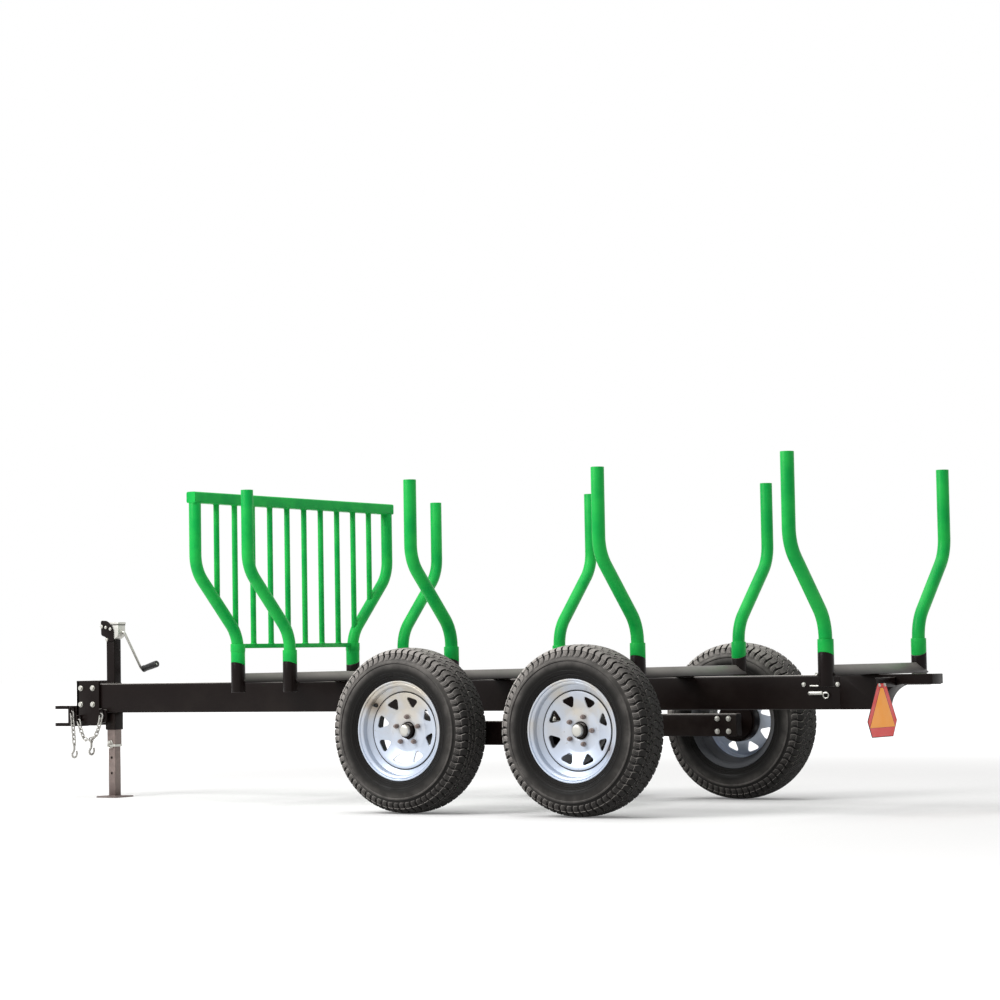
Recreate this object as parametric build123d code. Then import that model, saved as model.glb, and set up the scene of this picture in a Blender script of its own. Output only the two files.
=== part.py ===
from build123d import *
import os
from math import sin, cos, tan, radians, sqrt, pi, atan2, degrees

os.makedirs("parts", exist_ok=True)

# Frame: +X to the hitch, +Y to the trailer's left, +Z up, floor at z = 0, millimetres.
# Main beam
BEAM_W = 100.0
BEAM_Z0 = 410.0
BEAM_Z1 = 550.0
BEAM_T = 6.0
BEAM_FRONT = 2150.0
SEAM_X = -1950.0
REAR_X = -2355.0
COPE_X = -2233.0
COPE_R = 103.0
LIP_Z = 510.0
SPIGOT_X = -1700.0

# Lock pin of the rear beam section
PIN_X = -1815.0
PIN_Z = 477.0
PIN_R = 8.0

# Bunks: inverted V angle with a socket at each end
ANGLE_LEG = 60.0
ANGLE_T = 6.0
SOCKET_Y = 434.0
SOCKET_R = 32.0
SOCKET_IR = 27.5
SOCKET_Z0 = 508.0
CUT_Z = 632.0
CUT_DEG = 20.0

# Stakes
STAKE_R = 27.0
STAKE_T = 4.0
STAKE_Z0 = 514.0
COLLAR_TOP = 694.0
BEND_Z = 698.0
BEND_R = 160.0
BEND_DEG = 45.0
STAKE_TOP_Y = 724.0

# name, x of the bunk, z of the stake tops
BUNKS = [
    ("bunk_1", 557.0, 1394.0),
    ("bunk_2", -313.0, 1394.0),
    ("bunk_3", -1232.0, 1398.0),
    ("bunk_4", -2080.0, 1412.0),
]
HEAD_X = 852.0

# Headboard
HEAD_BAR_Z0 = 1350.0
HEAD_BAR_Z1 = 1400.0
HEAD_BAR_Y = 752.0
HEAD_BAR_X = 25.0
LOW_BAR_Z0 = 706.0
LOW_BAR_Z1 = 726.0
ROD_R = 13.0
ROD_PITCH = 128.0
ROD_Y0 = 64.0

# Wheels and bogies
WHEEL_Z = 346.0
WHEEL_Y = 674.0
TANDEM_X = -682.0
HALF_BASE = 424.0
TYRE_R = 346.0
TYRE_HALF = 104.0
TYRE_SIDES = 30
RIM_HALF = 82.0
SEAT_R = 190.0
RIM_R = SEAT_R + 18.5
RIM_WALL = 4.0
DISC_Y = 13.0
DISC_T = 5.0
LUG_R = 57.15
LUGS = 5
WINDOWS = 8
WINDOW_DEG = 16.25
REAR_TURN = 234.0
DRUM_R = 92.0
SPINDLE_R = 17.5
BOGIE_Y0 = 506.0
BOGIE_Y1 = 556.0
BOGIE_Z0 = 281.0
BOGIE_Z1 = 381.0
BOGIE_END = 66.0
AXLE_HALF = 38.0

# Hitch
CHEEK_T = 12.0
CLEVIS_X = 2355.0
CLEVIS_PIN_X = 2320.0
CLEVIS_PIN_R = 13.5
CLEVIS_HALF = 25.0
EARS = [(344.0, 360.0), (428.0, 444.0)]

# Jack
JACK_X = 1978.0
JACK_HALF = 25.4
JACK_IN = 21.9
JACK_Z0 = 245.0
JACK_Z1 = 764.0
LEG_HALF = 21.4
LEG_TOP = 400.0
FOOT_HALF = 65.0
FOOT_T = 7.0
HEAD_Y = 26.0
CRANK_Z = 800.0
CRANK_X = 1910.0
CRANK_R = 6.5
CRANK_ARM = 223.0
CRANK_DEG = 34.5
GRIP_LEAN = 16.0
GRIP_R = 17.0

# Warning triangle
SIGN_X = -2198.0
SIGN_Y = 190.0
SIGN_TOP = 518.0

parts = {}


def block(x0, x1, y0, y1, z0, z1):
    size = Box(x1 - x0, y1 - y0, z1 - z0)
    return Pos((x0 + x1) / 2, (y0 + y1) / 2, (z0 + z1) / 2) * size


def rod_z(x, y, z0, z1, r):
    return Pos(x, y, (z0 + z1) / 2) * Cylinder(r, z1 - z0)


def rod_y(x, z, y0, y1, r):
    return Pos(x, (y0 + y1) / 2, z) * Rot(90, 0, 0) * Cylinder(r, y1 - y0)


def rod_x(y, z, x0, x1, r):
    return Pos((x0 + x1) / 2, y, z) * Rot(0, 90, 0) * Cylinder(r, x1 - x0)


def plate_y(points, y0, y1):
    # outline of x, z pairs, from y0 to y1
    face = make_face(Polyline(*[(x, y0, z) for x, z in points], close=True))
    return extrude(face, amount=y1 - y0, dir=(0, 1, 0))


def plate_x(points, x0, x1):
    # outline of y, z pairs, from x0 to x1
    face = make_face(Polyline(*[(x0, y, z) for y, z in points], close=True))
    return extrude(face, amount=x1 - x0, dir=(1, 0, 0))


def flip(shape):
    return mirror(shape, about=Plane.XZ)


def solid_of(shape):
    return shape if isinstance(shape, (Solid, Compound, Part)) else Part(shape)


# Main beam: box tube, open to the rear for the spigot of the rear section
half = BEAM_W / 2
beam = block(SEAM_X, BEAM_FRONT, -half, half, BEAM_Z0, BEAM_Z1)
beam -= block(SEAM_X - 1, BEAM_FRONT - 6, -half + BEAM_T, half - BEAM_T, BEAM_Z0 + BEAM_T, BEAM_Z1 - BEAM_T)
beam -= block(JACK_X - 25.7, JACK_X + 25.7, -25.7, 25.7, BEAM_Z0 - 5, BEAM_Z1 + 5)
beam -= rod_y(PIN_X, PIN_Z, -80, 80, PIN_R + 0.3)
parts["main_beam"] = beam

# Rear beam section: same tube, coped underneath, with a spigot that enters the main beam
rear = block(REAR_X, SEAM_X - 0.5, -half, half, BEAM_Z0, BEAM_Z1)
rear -= block(REAR_X + 6, SEAM_X + 1, -half + BEAM_T, half - BEAM_T, BEAM_Z0 + BEAM_T, BEAM_Z1 - BEAM_T)
cope = rod_y(COPE_X, LIP_Z - COPE_R, -80, 80, COPE_R)
cope += block(REAR_X - 10, COPE_X, -80, 80, BEAM_Z0 - 150, LIP_Z)
rear -= cope
shelf = block(REAR_X, COPE_X, -half, half, LIP_Z, LIP_Z + BEAM_T)
ring = rod_y(COPE_X, LIP_Z - COPE_R, -half, half, COPE_R + BEAM_T)
ring -= rod_y(COPE_X, LIP_Z - COPE_R, -80, 80, COPE_R)
ring &= block(COPE_X, COPE_X + 130, -half, half, BEAM_Z0, BEAM_Z1)
rear += shelf
rear += ring
spig_y = half - BEAM_T - 0.5
spig_z0 = BEAM_Z0 + BEAM_T + 0.5
spig_z1 = BEAM_Z1 - BEAM_T - 0.5
spigot = block(SEAM_X - 60, SPIGOT_X, -spig_y, spig_y, spig_z0, spig_z1)
spigot -= block(SEAM_X - 61, SPIGOT_X + 1, -spig_y + 6, spig_y - 6, spig_z0 + 6, spig_z1 - 6)
spig_joint = block(SEAM_X - 60, SEAM_X - 20, -half + 3, half - 3, BEAM_Z0 + 3, BEAM_Z1 - 3)
spig_joint -= block(SEAM_X - 61, SEAM_X, -spig_y + 6, spig_y - 6, spig_z0 + 6, spig_z1 - 6)
rear += spig_joint
rear += spigot
rear -= rod_y(PIN_X, PIN_Z, -80, 80, PIN_R + 0.3)
# side plate that holds the warning triangle
rear += block(SIGN_X + 0.3, SIGN_X + 6, half, SIGN_Y + 45, SIGN_TOP - 18, SIGN_TOP + 20)
rear += block(SIGN_X + 0.3, SIGN_X + 60, half, half + 6, SIGN_TOP - 18, SIGN_TOP + 20)
parts["rear_beam"] = rear

# Lock pin with bent handle and ring clip
pin = rod_y(PIN_X, PIN_Z, -76, 61, PIN_R)
pin += Pos(PIN_X, 61, PIN_Z) * Sphere(PIN_R)
pin += rod_x(61, PIN_Z, PIN_X - 62, PIN_X, PIN_R)
pin += rod_x(61, PIN_Z, PIN_X - 84, PIN_X - 58, 3.0)
clip = Pos(PIN_X - 76, 61, PIN_Z - 9) * Rot(90, 0, 0) * Torus(12, 3)
pin += clip
pin -= rod_x(61, PIN_Z, PIN_X - 90, PIN_X - 80, 4.0)
parts["lock_pin"] = pin


def angle_profile(x):
    apex = BEAM_Z1 + (ANGLE_LEG + ANGLE_T) * sin(radians(45)) - 0.8
    d = ANGLE_LEG * sin(radians(45))
    n = ANGLE_T * sin(radians(45))
    return [
        (x, apex),
        (x + d, apex - d),
        (x + d - n, apex - d - n),
        (x, apex - 2 * n),
        (x - d + n, apex - d - n),
        (x - d, apex - d),
    ]


def above_cut(x, y, side, gap):
    # wedge above the slanted joint, outer side higher
    tool = Pos(0, 0, 100 + gap / 2) * Box(120, 200, 200)
    return Pos(x, y, CUT_Z) * Rot(side * CUT_DEG, 0, 0) * tool


def socket(x, side):
    y = side * SOCKET_Y
    tube = rod_z(x, y, SOCKET_Z0, CUT_Z + 30, SOCKET_R)
    tube -= above_cut(x, y, side, 0.0)
    return tube


def bunk(x):
    bar = plate_y(angle_profile(x), -SOCKET_Y, SOCKET_Y)
    bar &= block(x - 80, x + 80, -SOCKET_Y, SOCKET_Y, BEAM_Z1, BEAM_Z1 + 80)
    for side in (1, -1):
        bar += socket(x, side)
    for side in (1, -1):
        bar -= rod_z(x, side * SOCKET_Y, SOCKET_Z0 + 5, CUT_Z + 40, SOCKET_IR)
    return bar


def bent_path(x, z_low, z_high):
    # straight, outward arc, slope, inward arc, straight
    a = radians(BEND_DEG)
    rise = BEND_R * sin(a)
    out = BEND_R * (1 - cos(a))
    slope = (STAKE_TOP_Y - SOCKET_Y - 2 * out) / sin(a)
    mid_y = BEND_R * (1 - cos(a / 2))
    mid_z = BEND_R * sin(a / 2)
    p0 = (x, SOCKET_Y, z_low)
    p1 = (x, SOCKET_Y, BEND_Z)
    m1 = (x, SOCKET_Y + mid_y, BEND_Z + mid_z)
    p2 = (x, SOCKET_Y + out, BEND_Z + rise)
    z3 = BEND_Z + rise + slope * cos(a)
    p3 = (x, STAKE_TOP_Y - out, z3)
    p4 = (x, STAKE_TOP_Y, z3 + rise)
    m2 = (x, STAKE_TOP_Y - mid_y, z3 + rise - mid_z)
    p5 = (x, STAKE_TOP_Y, z_high)
    return Wire([
        Edge.make_line(p0, p1),
        Edge.make_three_point_arc(p1, m1, p2),
        Edge.make_line(p2, p3),
        Edge.make_three_point_arc(p3, m2, p4),
        Edge.make_line(p4, p5),
    ])


def post_y(z):
    # centre line of a bent stake at height z
    a = radians(BEND_DEG)
    rise = BEND_R * sin(a)
    out = BEND_R * (1 - cos(a))
    slope = (STAKE_TOP_Y - SOCKET_Y - 2 * out) / sin(a)
    z2 = BEND_Z + rise
    z3 = z2 + slope * cos(a)
    if z <= BEND_Z:
        return SOCKET_Y
    if z <= z2:
        return SOCKET_Y + BEND_R - sqrt(BEND_R ** 2 - (z - BEND_Z) ** 2)
    if z <= z3:
        return SOCKET_Y + out + (z - z2)
    if z <= z3 + rise:
        return STAKE_TOP_Y - BEND_R + sqrt(BEND_R ** 2 - (z3 + rise - z) ** 2)
    return STAKE_TOP_Y


def post_z(y):
    z = BEND_Z
    while post_y(z) < y:
        z += 1.0
    return z


def stake(x, top):
    path = bent_path(x, STAKE_Z0, top)
    start = Plane((x, SOCKET_Y, STAKE_Z0))
    outer = sweep(start * Circle(STAKE_R), path=path)
    inner = sweep(start * Circle(STAKE_R - STAKE_T), path=path)
    collar = rod_z(x, SOCKET_Y, CUT_Z - 30, COLLAR_TOP, SOCKET_R)
    collar &= above_cut(x, SOCKET_Y, 1, 0.6)
    return outer + collar - inner


for name, x, top in BUNKS:
    parts[name] = bunk(x)
    left = stake(x, top)
    number = name.split("_")[1]
    parts["stake_" + number + "_left"] = left
    parts["stake_" + number + "_right"] = flip(left)

# Headboard on its own bunk: two bent posts, top bar, low bar and ten upright rods
parts["headboard_bunk"] = bunk(HEAD_X)
post = stake(HEAD_X, HEAD_BAR_Z0 + 3)
post += rod_z(HEAD_X, SOCKET_Y, COLLAR_TOP - 4, LOW_BAR_Z1, SOCKET_R + 1.5)
post -= rod_z(HEAD_X, SOCKET_Y, COLLAR_TOP - 6, BEND_Z, STAKE_R - STAKE_T)
head = post + flip(post)
top_bar = block(HEAD_X - HEAD_BAR_X, HEAD_X + HEAD_BAR_X, -HEAD_BAR_Y, HEAD_BAR_Y, HEAD_BAR_Z0, HEAD_BAR_Z1)
head += top_bar
head += block(HEAD_X - 10, HEAD_X + 10, -SOCKET_Y + 26, SOCKET_Y - 26, LOW_BAR_Z0, LOW_BAR_Z1)
for i in range(5):
    y = ROD_Y0 + ROD_PITCH * i
    low = LOW_BAR_Z1 - 3 if y < SOCKET_Y - 20 else post_z(y) - 6
    for side in (1, -1):
        head += rod_z(HEAD_X, side * y, low, HEAD_BAR_Z0 + 3, ROD_R)
parts["headboard"] = head

# Cross axle under the beam with its saddle and the bogie pivots
mid_z = (BOGIE_Z0 + BOGIE_Z1) / 2
axle = block(TANDEM_X - AXLE_HALF, TANDEM_X + AXLE_HALF, -498, 498, mid_z - AXLE_HALF, mid_z + AXLE_HALF)
axle -= block(TANDEM_X - 32, TANDEM_X + 32, -492, 492, mid_z - 32, mid_z + 32)
for side in (1, -1):
    y0, y1 = sorted((side * 480, side * 570))
    axle += rod_y(TANDEM_X, mid_z, y0, y1, 25.0)
    y0, y1 = sorted((side * (BOGIE_Y1 + 0.5), side * (BOGIE_Y1 + 7)))
    axle += rod_y(TANDEM_X, mid_z, y0, y1, 38.0)
    y0, y1 = sorted((side * 498, side * (BOGIE_Y0 - 0.5)))
    axle += rod_y(TANDEM_X, mid_z, y0, y1, 42.0)
for side in (1, -1):
    y0, y1 = sorted((side * (half - 8), side * half))
    web = [
        (TANDEM_X - 110, BEAM_Z0),
        (TANDEM_X + 110, BEAM_Z0),
        (TANDEM_X + 60, mid_z + 10),
        (TANDEM_X - 60, mid_z + 10),
    ]
    axle += plate_y(web, y0, y1)
axle += block(TANDEM_X - 110, TANDEM_X + 110, -half, half, BEAM_Z0 - 8, BEAM_Z0)
parts["cross_axle"] = axle


def bogie():
    x0 = TANDEM_X - HALF_BASE - BOGIE_END
    x1 = TANDEM_X + HALF_BASE + BOGIE_END
    bar = block(x0, x1, BOGIE_Y0, BOGIE_Y1, BOGIE_Z0, BOGIE_Z1)
    bar -= block(x0 + 5, x1 - 5, BOGIE_Y0 + 5, BOGIE_Y1 - 5, BOGIE_Z0 + 5, BOGIE_Z1 - 5)
    bar += rod_y(TANDEM_X, mid_z, BOGIE_Y0, BOGIE_Y1, 36.0)
    bar -= rod_y(TANDEM_X, mid_z, BOGIE_Y0 - 5, BOGIE_Y1 + 5, 25.3)
    return bar


bogie_left = bogie()
parts["bogie_beam_left"] = bogie_left
parts["bogie_beam_right"] = flip(bogie_left)


def spindle(x):
    root = BOGIE_Y1
    shaft = rod_y(x, WHEEL_Z, root, WHEEL_Y + 10, SPINDLE_R)
    shaft += block(x - 42, x + 42, root, root + 8, WHEEL_Z - 42, WHEEL_Z + 30)
    shaft += rod_y(x, WHEEL_Z, root, WHEEL_Y - 48, 28.0)
    shaft += rod_y(x, WHEEL_Z, WHEEL_Y - 50, WHEEL_Y - 45, DRUM_R - 8)
    return shaft


spindles = spindle(TANDEM_X - HALF_BASE) + spindle(TANDEM_X + HALF_BASE)
parts["spindles_left"] = spindles
parts["spindles_right"] = flip(spindles)


# Wheel pieces about their own centre, outer side at +Y
def turned(points):
    face = make_face(Polyline(*[(r, y, 0) for r, y in points], close=True))
    return revolve(face, axis=Axis.Y)


def facet_ring(section, sides):
    # flat facets about the Y axis from a closed section of radius, y pairs, one corner straight down
    faces = []
    for i in range(sides):
        a = 2 * pi * i / sides - pi / 2
        b = 2 * pi * (i + 1) / sides - pi / 2
        for (r0, y0), (r1, y1) in zip(section, section[1:] + section[:1]):
            corners = [
                (r0 * cos(a), y0, r0 * sin(a)),
                (r0 * cos(b), y0, r0 * sin(b)),
                (r1 * cos(b), y1, r1 * sin(b)),
                (r1 * cos(a), y1, r1 * sin(a)),
            ]
            faces.append(Face(Wire.make_polygon(corners)))
    return Solid(Shell(faces))


def tyre():
    w = TYRE_HALF
    h = RIM_HALF
    bead = (SEAT_R + 0.3) / cos(pi / TYRE_SIDES)
    deep = TYRE_R - bead
    # radius, y from the bead up the side to the middle of the tread
    side = [
        (bead, h - 14), (RIM_R - 3.7, h - 5.2), (RIM_R + 4, h - 5), (bead + 0.46 * deep, w),
        (bead + 0.82 * deep, w - 13), (bead + 0.97 * deep, w - 46),
    ]
    inside = [(bead, h - 30), (bead + 0.83 * deep, w - 49)]
    section = side + [(TYRE_R, 0)] + [(r, -y) for r, y in reversed(side)]
    section += [(r, -y) for r, y in inside] + list(reversed(inside))
    return facet_ring(section, TYRE_SIDES)


def rim():
    s = SEAT_R
    h = RIM_HALF
    t = RIM_WALL
    # radius, y of the barrel: inner face, then the face under the tyre
    barrel = [
        (RIM_R, h), (RIM_R - 5.5, h), (s - 1, h - 8), (s - t, h - 12), (s - t, 48), (s - 22 - t, 36),
        (s - 22 - t, -30), (s - t, -50), (s - t, -h + 12), (s - 1, -h + 8), (RIM_R - 5.5, -h),
        (RIM_R, -h), (RIM_R, -h + t + 0.5), (RIM_R - 4, -h + t + 0.5), (s + 1, -h + 11.5),
        (s, -h + 14), (s, -48.5), (s - 22, -28.5), (s - 22, 33.6), (s, 45.6), (s, h - 14),
        (s + 1, h - 11.5), (RIM_R - 4, h - t - 0.5), (RIM_R, h - t - 0.5),
    ]
    # radius, y of the dished disc
    d = DISC_T
    disc = [
        (s - 25, 36), (s - 32, 38), (s - 38, 38), (DRUM_R, 15), (84, DISC_Y), (36, DISC_Y),
        (36, DISC_Y - d), (86, DISC_Y - d), (DRUM_R + 3, 10.5), (s - 37, 33), (s - 25, 30),
    ]
    wheel = turned(disc)
    span = s - 50 - DRUM_R
    tri = make_face(Polyline((DRUM_R, 0), (DRUM_R + span, 0.75 * span), (DRUM_R + span, -0.75 * span), close=True))
    tri = fillet(tri.vertices(), span / 6)
    cut = Rot(90, 0, 0) * extrude(tri, amount=80, both=True)
    for i in range(WINDOWS):
        wheel -= Rot(0, -WINDOW_DEG - 360.0 * i / WINDOWS, 0) * cut
    for i in range(LUGS):
        a = radians(360.0 * i / LUGS + 90)
        wheel -= rod_y(LUG_R * cos(a), LUG_R * sin(a), -20, 40, 8.0)
    return wheel + turned(barrel)


def hub():
    # radius, y of the hub with its brake drum and dust cap
    outline = [
        (0, 46), (20, 46), (25, 42), (26, 30), (31, 28), (31, 7.7), (88, 7.7), (DRUM_R, 4),
        (DRUM_R, -47), (DRUM_R - 5, -47), (DRUM_R - 5, -4), (40, -4), (38, -38),
        (SPINDLE_R + 0.05, -38), (SPINDLE_R + 0.05, 14), (0, 14),
    ]
    body = turned(outline)
    for i in range(LUGS):
        a = radians(360.0 * i / LUGS + 90)
        x = LUG_R * cos(a)
        z = LUG_R * sin(a)
        body += rod_y(x, z, 2, 34, 6.0)
        nut = extrude(RegularPolygon(11.0, 6), amount=15)
        body += Pos(x, DISC_Y + 0.3, z) * Rot(-90, 0, 0) * nut
    return body


tyre_left = tyre()
rim_left = rim()
hub_left = hub()
# name, x, how far the wheel has turned
WHEELS = [("front", TANDEM_X + HALF_BASE, 0.0), ("rear", TANDEM_X - HALF_BASE, REAR_TURN)]
for row, x, turn in WHEELS:
    for piece, shape, angle in (("tyre", tyre_left, 0.0), ("rim", rim_left, turn), ("hub", hub_left, turn)):
        left = Pos(x, WHEEL_Y, WHEEL_Z) * Rot(0, -angle, 0) * shape
        parts[piece + "_" + row + "_left"] = left
        parts[piece + "_" + row + "_right"] = flip(left)

# Hitch bracket: two cheeks on the beam, a front plate and two chain lugs
cheek = [
    (BEAM_FRONT + 15, 566), (2021, 566), (2021, 430), (1976, 424), (1976, 368),
    (2045, 348), (BEAM_FRONT + 15, 348),
]
bracket = plate_y(cheek, half + 0.3, half + CHEEK_T)
bracket += flip(bracket)
bracket += block(BEAM_FRONT + 0.5, BEAM_FRONT + 15, -half - CHEEK_T, half + CHEEK_T, 348, 566)
# x, y, z of the lug holes
LUG_PLATES = [(1993.5, 78.0, 413.2), (2137.0, 78.0, 384.2)]
for x, y, z in LUG_PLATES:
    bracket += block(x - 2.5, x + 2.5, half + CHEEK_T - 1, y + 16, z - 15, z + 15)
    bracket -= rod_x(y, z, x - 10, x + 10, 11.0)
parts["hitch_bracket"] = bracket

# Clevis: shank, back plate and two ears with the hitch pin bore
clevis = block(BEAM_FRONT + 15.3, 2257, -CLEVIS_HALF, CLEVIS_HALF, 344, 444)
for z0, z1 in EARS:
    clevis += block(2250, CLEVIS_X - CLEVIS_HALF, -CLEVIS_HALF, CLEVIS_HALF, z0, z1)
    clevis += rod_z(CLEVIS_X - CLEVIS_HALF, 0, z0, z1, CLEVIS_HALF)
    clevis -= rod_z(CLEVIS_PIN_X, 0, z0 - 2, z1 + 2, CLEVIS_PIN_R)
clevis += block(2212.5, 2217.5, CLEVIS_HALF - 1, 57, 409, 439)
clevis -= rod_x(41, 424, 2205, 2225, 11.0)
parts["hitch_clevis"] = clevis


def link(x, y, z, tilt, turn, inner, wire, width):
    # eight sided link, long way along X before it is tilted in the XZ plane
    a = inner / 2 + wire
    b = width / 2
    c = b * 0.55
    e = inner / 2
    f = b - wire
    g = f * 0.75
    outer = [(-a, c), (-a + b - c, b), (a - b + c, b), (a, c), (a, -c), (a - b + c, -b), (-a + b - c, -b), (-a, -c)]
    hole = [(-e, g), (-e + f - g, f), (e - f + g, f), (e, g), (e, -g), (e - f + g, -f), (-e + f - g, -f), (-e, -g)]
    ring = make_face(Polyline(*[(p, q, 0) for p, q in outer], close=True))
    ring -= make_face(Polyline(*[(p, q, 0) for p, q in hole], close=True))
    body = extrude(ring, amount=wire / 2, both=True)
    return Pos(x, y, z) * Rot(0, -tilt, 0) * Rot(turn, 0, 0) * body


LINK_IN = 22.8
LINK_PITCH = 22.0
LINK_WIRE = 7.0
LINK_W = 25.0
SIDE_SAG = 108.0


def chain(points, first_turn):
    # links centred on the segments of a line of x, y, z points
    links = []
    turn = first_turn
    for (x0, y0, z0), (x1, y1, z1) in zip(points, points[1:]):
        tilt = degrees(atan2(z1 - z0, x1 - x0))
        mid = ((x0 + x1) / 2, (y0 + y1) / 2, (z0 + z1) / 2)
        links.append(link(mid[0], mid[1], mid[2], tilt, turn, LINK_IN, LINK_WIRE, LINK_W))
        turn = 90 - turn
    return links


def hook(x, y, z, tilt, turn):
    # hook outline, eye at the origin, long way along +X before the tilt and the turn about Z
    pts = [
        (-9, 5), (-4, 10), (4, 10), (10, 6), (28, 7), (42, 20), (58, 20), (68, 10), (70, -4), (62, -18),
        (46, -24), (30, -20), (34, -12), (46, -14), (56, -10), (60, -2), (56, 8), (48, 10), (38, 0),
        (26, -6), (10, -6), (4, -10), (-4, -10), (-9, -5),
    ]
    face = make_face(Polyline(*[(p, q, 0) for p, q in pts], close=True))
    face -= make_face(Polyline((-4.8, 3.6), (0, 5.4), (4.8, 3.6), (4.8, -3.6), (0, -5.4), (-4.8, -3.6), close=True))
    body = extrude(face, amount=3.5, both=True)
    return Pos(x, y, z) * Rot(0, 0, turn) * Rot(0, -tilt, 0) * Rot(90, 0, 0) * body


def bundle(pieces):
    return Compound(children=[solid_of(p) for p in pieces])


def hanging(p, q, sag, y, pitch):
    # points a pitch apart along a hanging line from p to q, x and z pairs
    pts = [(p[0], y, p[1])]
    t = 0.0
    while True:
        last = pts[-1]
        x = last[0]
        z = last[2]
        while t < 1.0 and sqrt((x - last[0]) ** 2 + (z - last[2]) ** 2) < pitch:
            t += 0.0005
            x = p[0] + (q[0] - p[0]) * t
            z = p[1] + (q[1] - p[1]) * t - sag * (1 - abs(2 * t - 1) ** 3)
        if t >= 1.0:
            rest = sqrt((q[0] - last[0]) ** 2 + (q[1] - last[2]) ** 2)
            return pts + [(q[0], y, q[1])] if rest > 0.9 * pitch else pts
        pts.append((x, y, z))


side_line = hanging((1992.0, 403.0), (2139.0, 374.0), SIDE_SAG, 78.0, LINK_PITCH)
side_links = chain(side_line, 90)
# a hook hangs on the lowest link
low = min(range(0, len(side_links), 2), key=lambda i: side_line[i][2] + side_line[i + 1][2])
low_x = (side_line[low][0] + side_line[low + 1][0]) / 2
low_z = (side_line[low][2] + side_line[low + 1][2]) / 2
side_links.append(hook(low_x, 78.0, low_z - (LINK_W - LINK_WIRE) / 2 - 1.0, -90, 90))
parts["safety_chain_side"] = bundle(side_links)
front_line = [(2216.0 - 2.0 * i, 41.0, 413.5 - LINK_PITCH * 0.995 * i) for i in range(0, 8)]
front_links = chain(front_line, 90)
end = front_line[-1]
front_links.append(hook(end[0], end[1], end[2] - 3.9, -90, 90))
parts["safety_chain_front"] = bundle(front_links)

# Jack: tube through the beam, sleeve under the beam, gear head, leg with foot, crank
sleeve = block(JACK_X - 31, JACK_X + 31, -31, 31, 327, BEAM_Z0 - 0.3)
sleeve -= block(JACK_X - 25.7, JACK_X + 25.7, -25.7, 25.7, 320, BEAM_Z0 + 5)
parts["jack_sleeve"] = sleeve
tube = block(JACK_X - JACK_HALF, JACK_X + JACK_HALF, -JACK_HALF, JACK_HALF, JACK_Z0, JACK_Z1)
tube -= block(JACK_X - JACK_IN, JACK_X + JACK_IN, -JACK_IN, JACK_IN, JACK_Z0 - 5, JACK_Z1 + 5)
tube += rod_y(JACK_X, 267, JACK_IN + 0.5, 42, 8)
tube += rod_y(JACK_X, 267, -32, -JACK_IN - 0.5, 8)
parts["jack_tube"] = tube
# gear housing with a lip at its top, a bush for the crank and a side plate
headbox = plate_y([
    (JACK_X - 53, 846), (JACK_X + 29, 846), (JACK_X + 29, JACK_Z1 + 0.3), (JACK_X - 26, JACK_Z1 + 0.3),
    (JACK_X - 53, 782),
], -HEAD_Y, HEAD_Y)
headbox -= plate_y([
    (JACK_X - 49, 842), (JACK_X + 25, 842), (JACK_X + 25, JACK_Z1 - 1), (JACK_X - 24, JACK_Z1 - 1),
    (JACK_X - 24, JACK_Z1 + 4), (JACK_X - 49, 784),
], -HEAD_Y + 4, HEAD_Y - 4)
headbox += block(JACK_X - 55, JACK_X + 31, -HEAD_Y - 2, HEAD_Y + 2, 837, 848)
headbox += rod_x(0, CRANK_Z, CRANK_X + 9, JACK_X - 51, 11)
headbox -= rod_x(0, CRANK_Z, CRANK_X + 5, JACK_X - 20, CRANK_R + 0.05)
side_plate = [
    (JACK_X + 55, 858), (JACK_X + 19, 856), (JACK_X + 3, 848), (JACK_X - 15, 830), (JACK_X - 25, 808),
    (JACK_X - 25, 756), (JACK_X + 14, 756), (JACK_X + 24, 776), (JACK_X + 53, 785),
]
headbox += plate_y(side_plate, HEAD_Y, HEAD_Y + 5)
parts["jack_head"] = headbox
leg = block(JACK_X - LEG_HALF, JACK_X + LEG_HALF, -LEG_HALF, LEG_HALF, FOOT_T - 1, LEG_TOP)
leg -= block(JACK_X - LEG_HALF + 4, JACK_X + LEG_HALF - 4, -LEG_HALF + 4, LEG_HALF - 4, FOOT_T, LEG_TOP + 1)
for z in (117, 192, 267):
    leg -= rod_y(JACK_X, z, -40, 40, 7.0)
leg += block(JACK_X - FOOT_HALF, JACK_X + FOOT_HALF, -FOOT_HALF, FOOT_HALF, 0, FOOT_T)
parts["jack_leg"] = leg

ang = radians(CRANK_DEG)
end_y = -CRANK_ARM * sin(ang)
end_z = CRANK_Z - CRANK_ARM * cos(ang)
crank = rod_x(0, CRANK_Z, CRANK_X, JACK_X - 30, CRANK_R)
crank += Pos(CRANK_X, 0, CRANK_Z) * Sphere(CRANK_R + 0.4)
arm = Plane((CRANK_X, 0, CRANK_Z), z_dir=(0, end_y, end_z - CRANK_Z)) * Cylinder(
    CRANK_R, CRANK_ARM, align=(Align.CENTER, Align.CENTER, Align.MIN))
crank += arm
crank += Pos(CRANK_X, end_y, end_z) * Sphere(CRANK_R + 0.4)
lean = radians(GRIP_LEAN)
grip_dir = (-cos(lean), sin(ang) * sin(lean), cos(ang) * sin(lean))
grip_plane = Plane((CRANK_X, end_y, end_z), z_dir=grip_dir)
crank += grip_plane * Cylinder(CRANK_R, 118, align=(Align.CENTER, Align.CENTER, Align.MIN))
parts["jack_crank"] = crank
grip = grip_plane * Cylinder(GRIP_R, 106, align=(Align.CENTER, Align.CENTER, Align.MIN))
grip_shift = tuple(14 * c for c in grip_dir)
grip = Pos(*grip_shift) * grip
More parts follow.
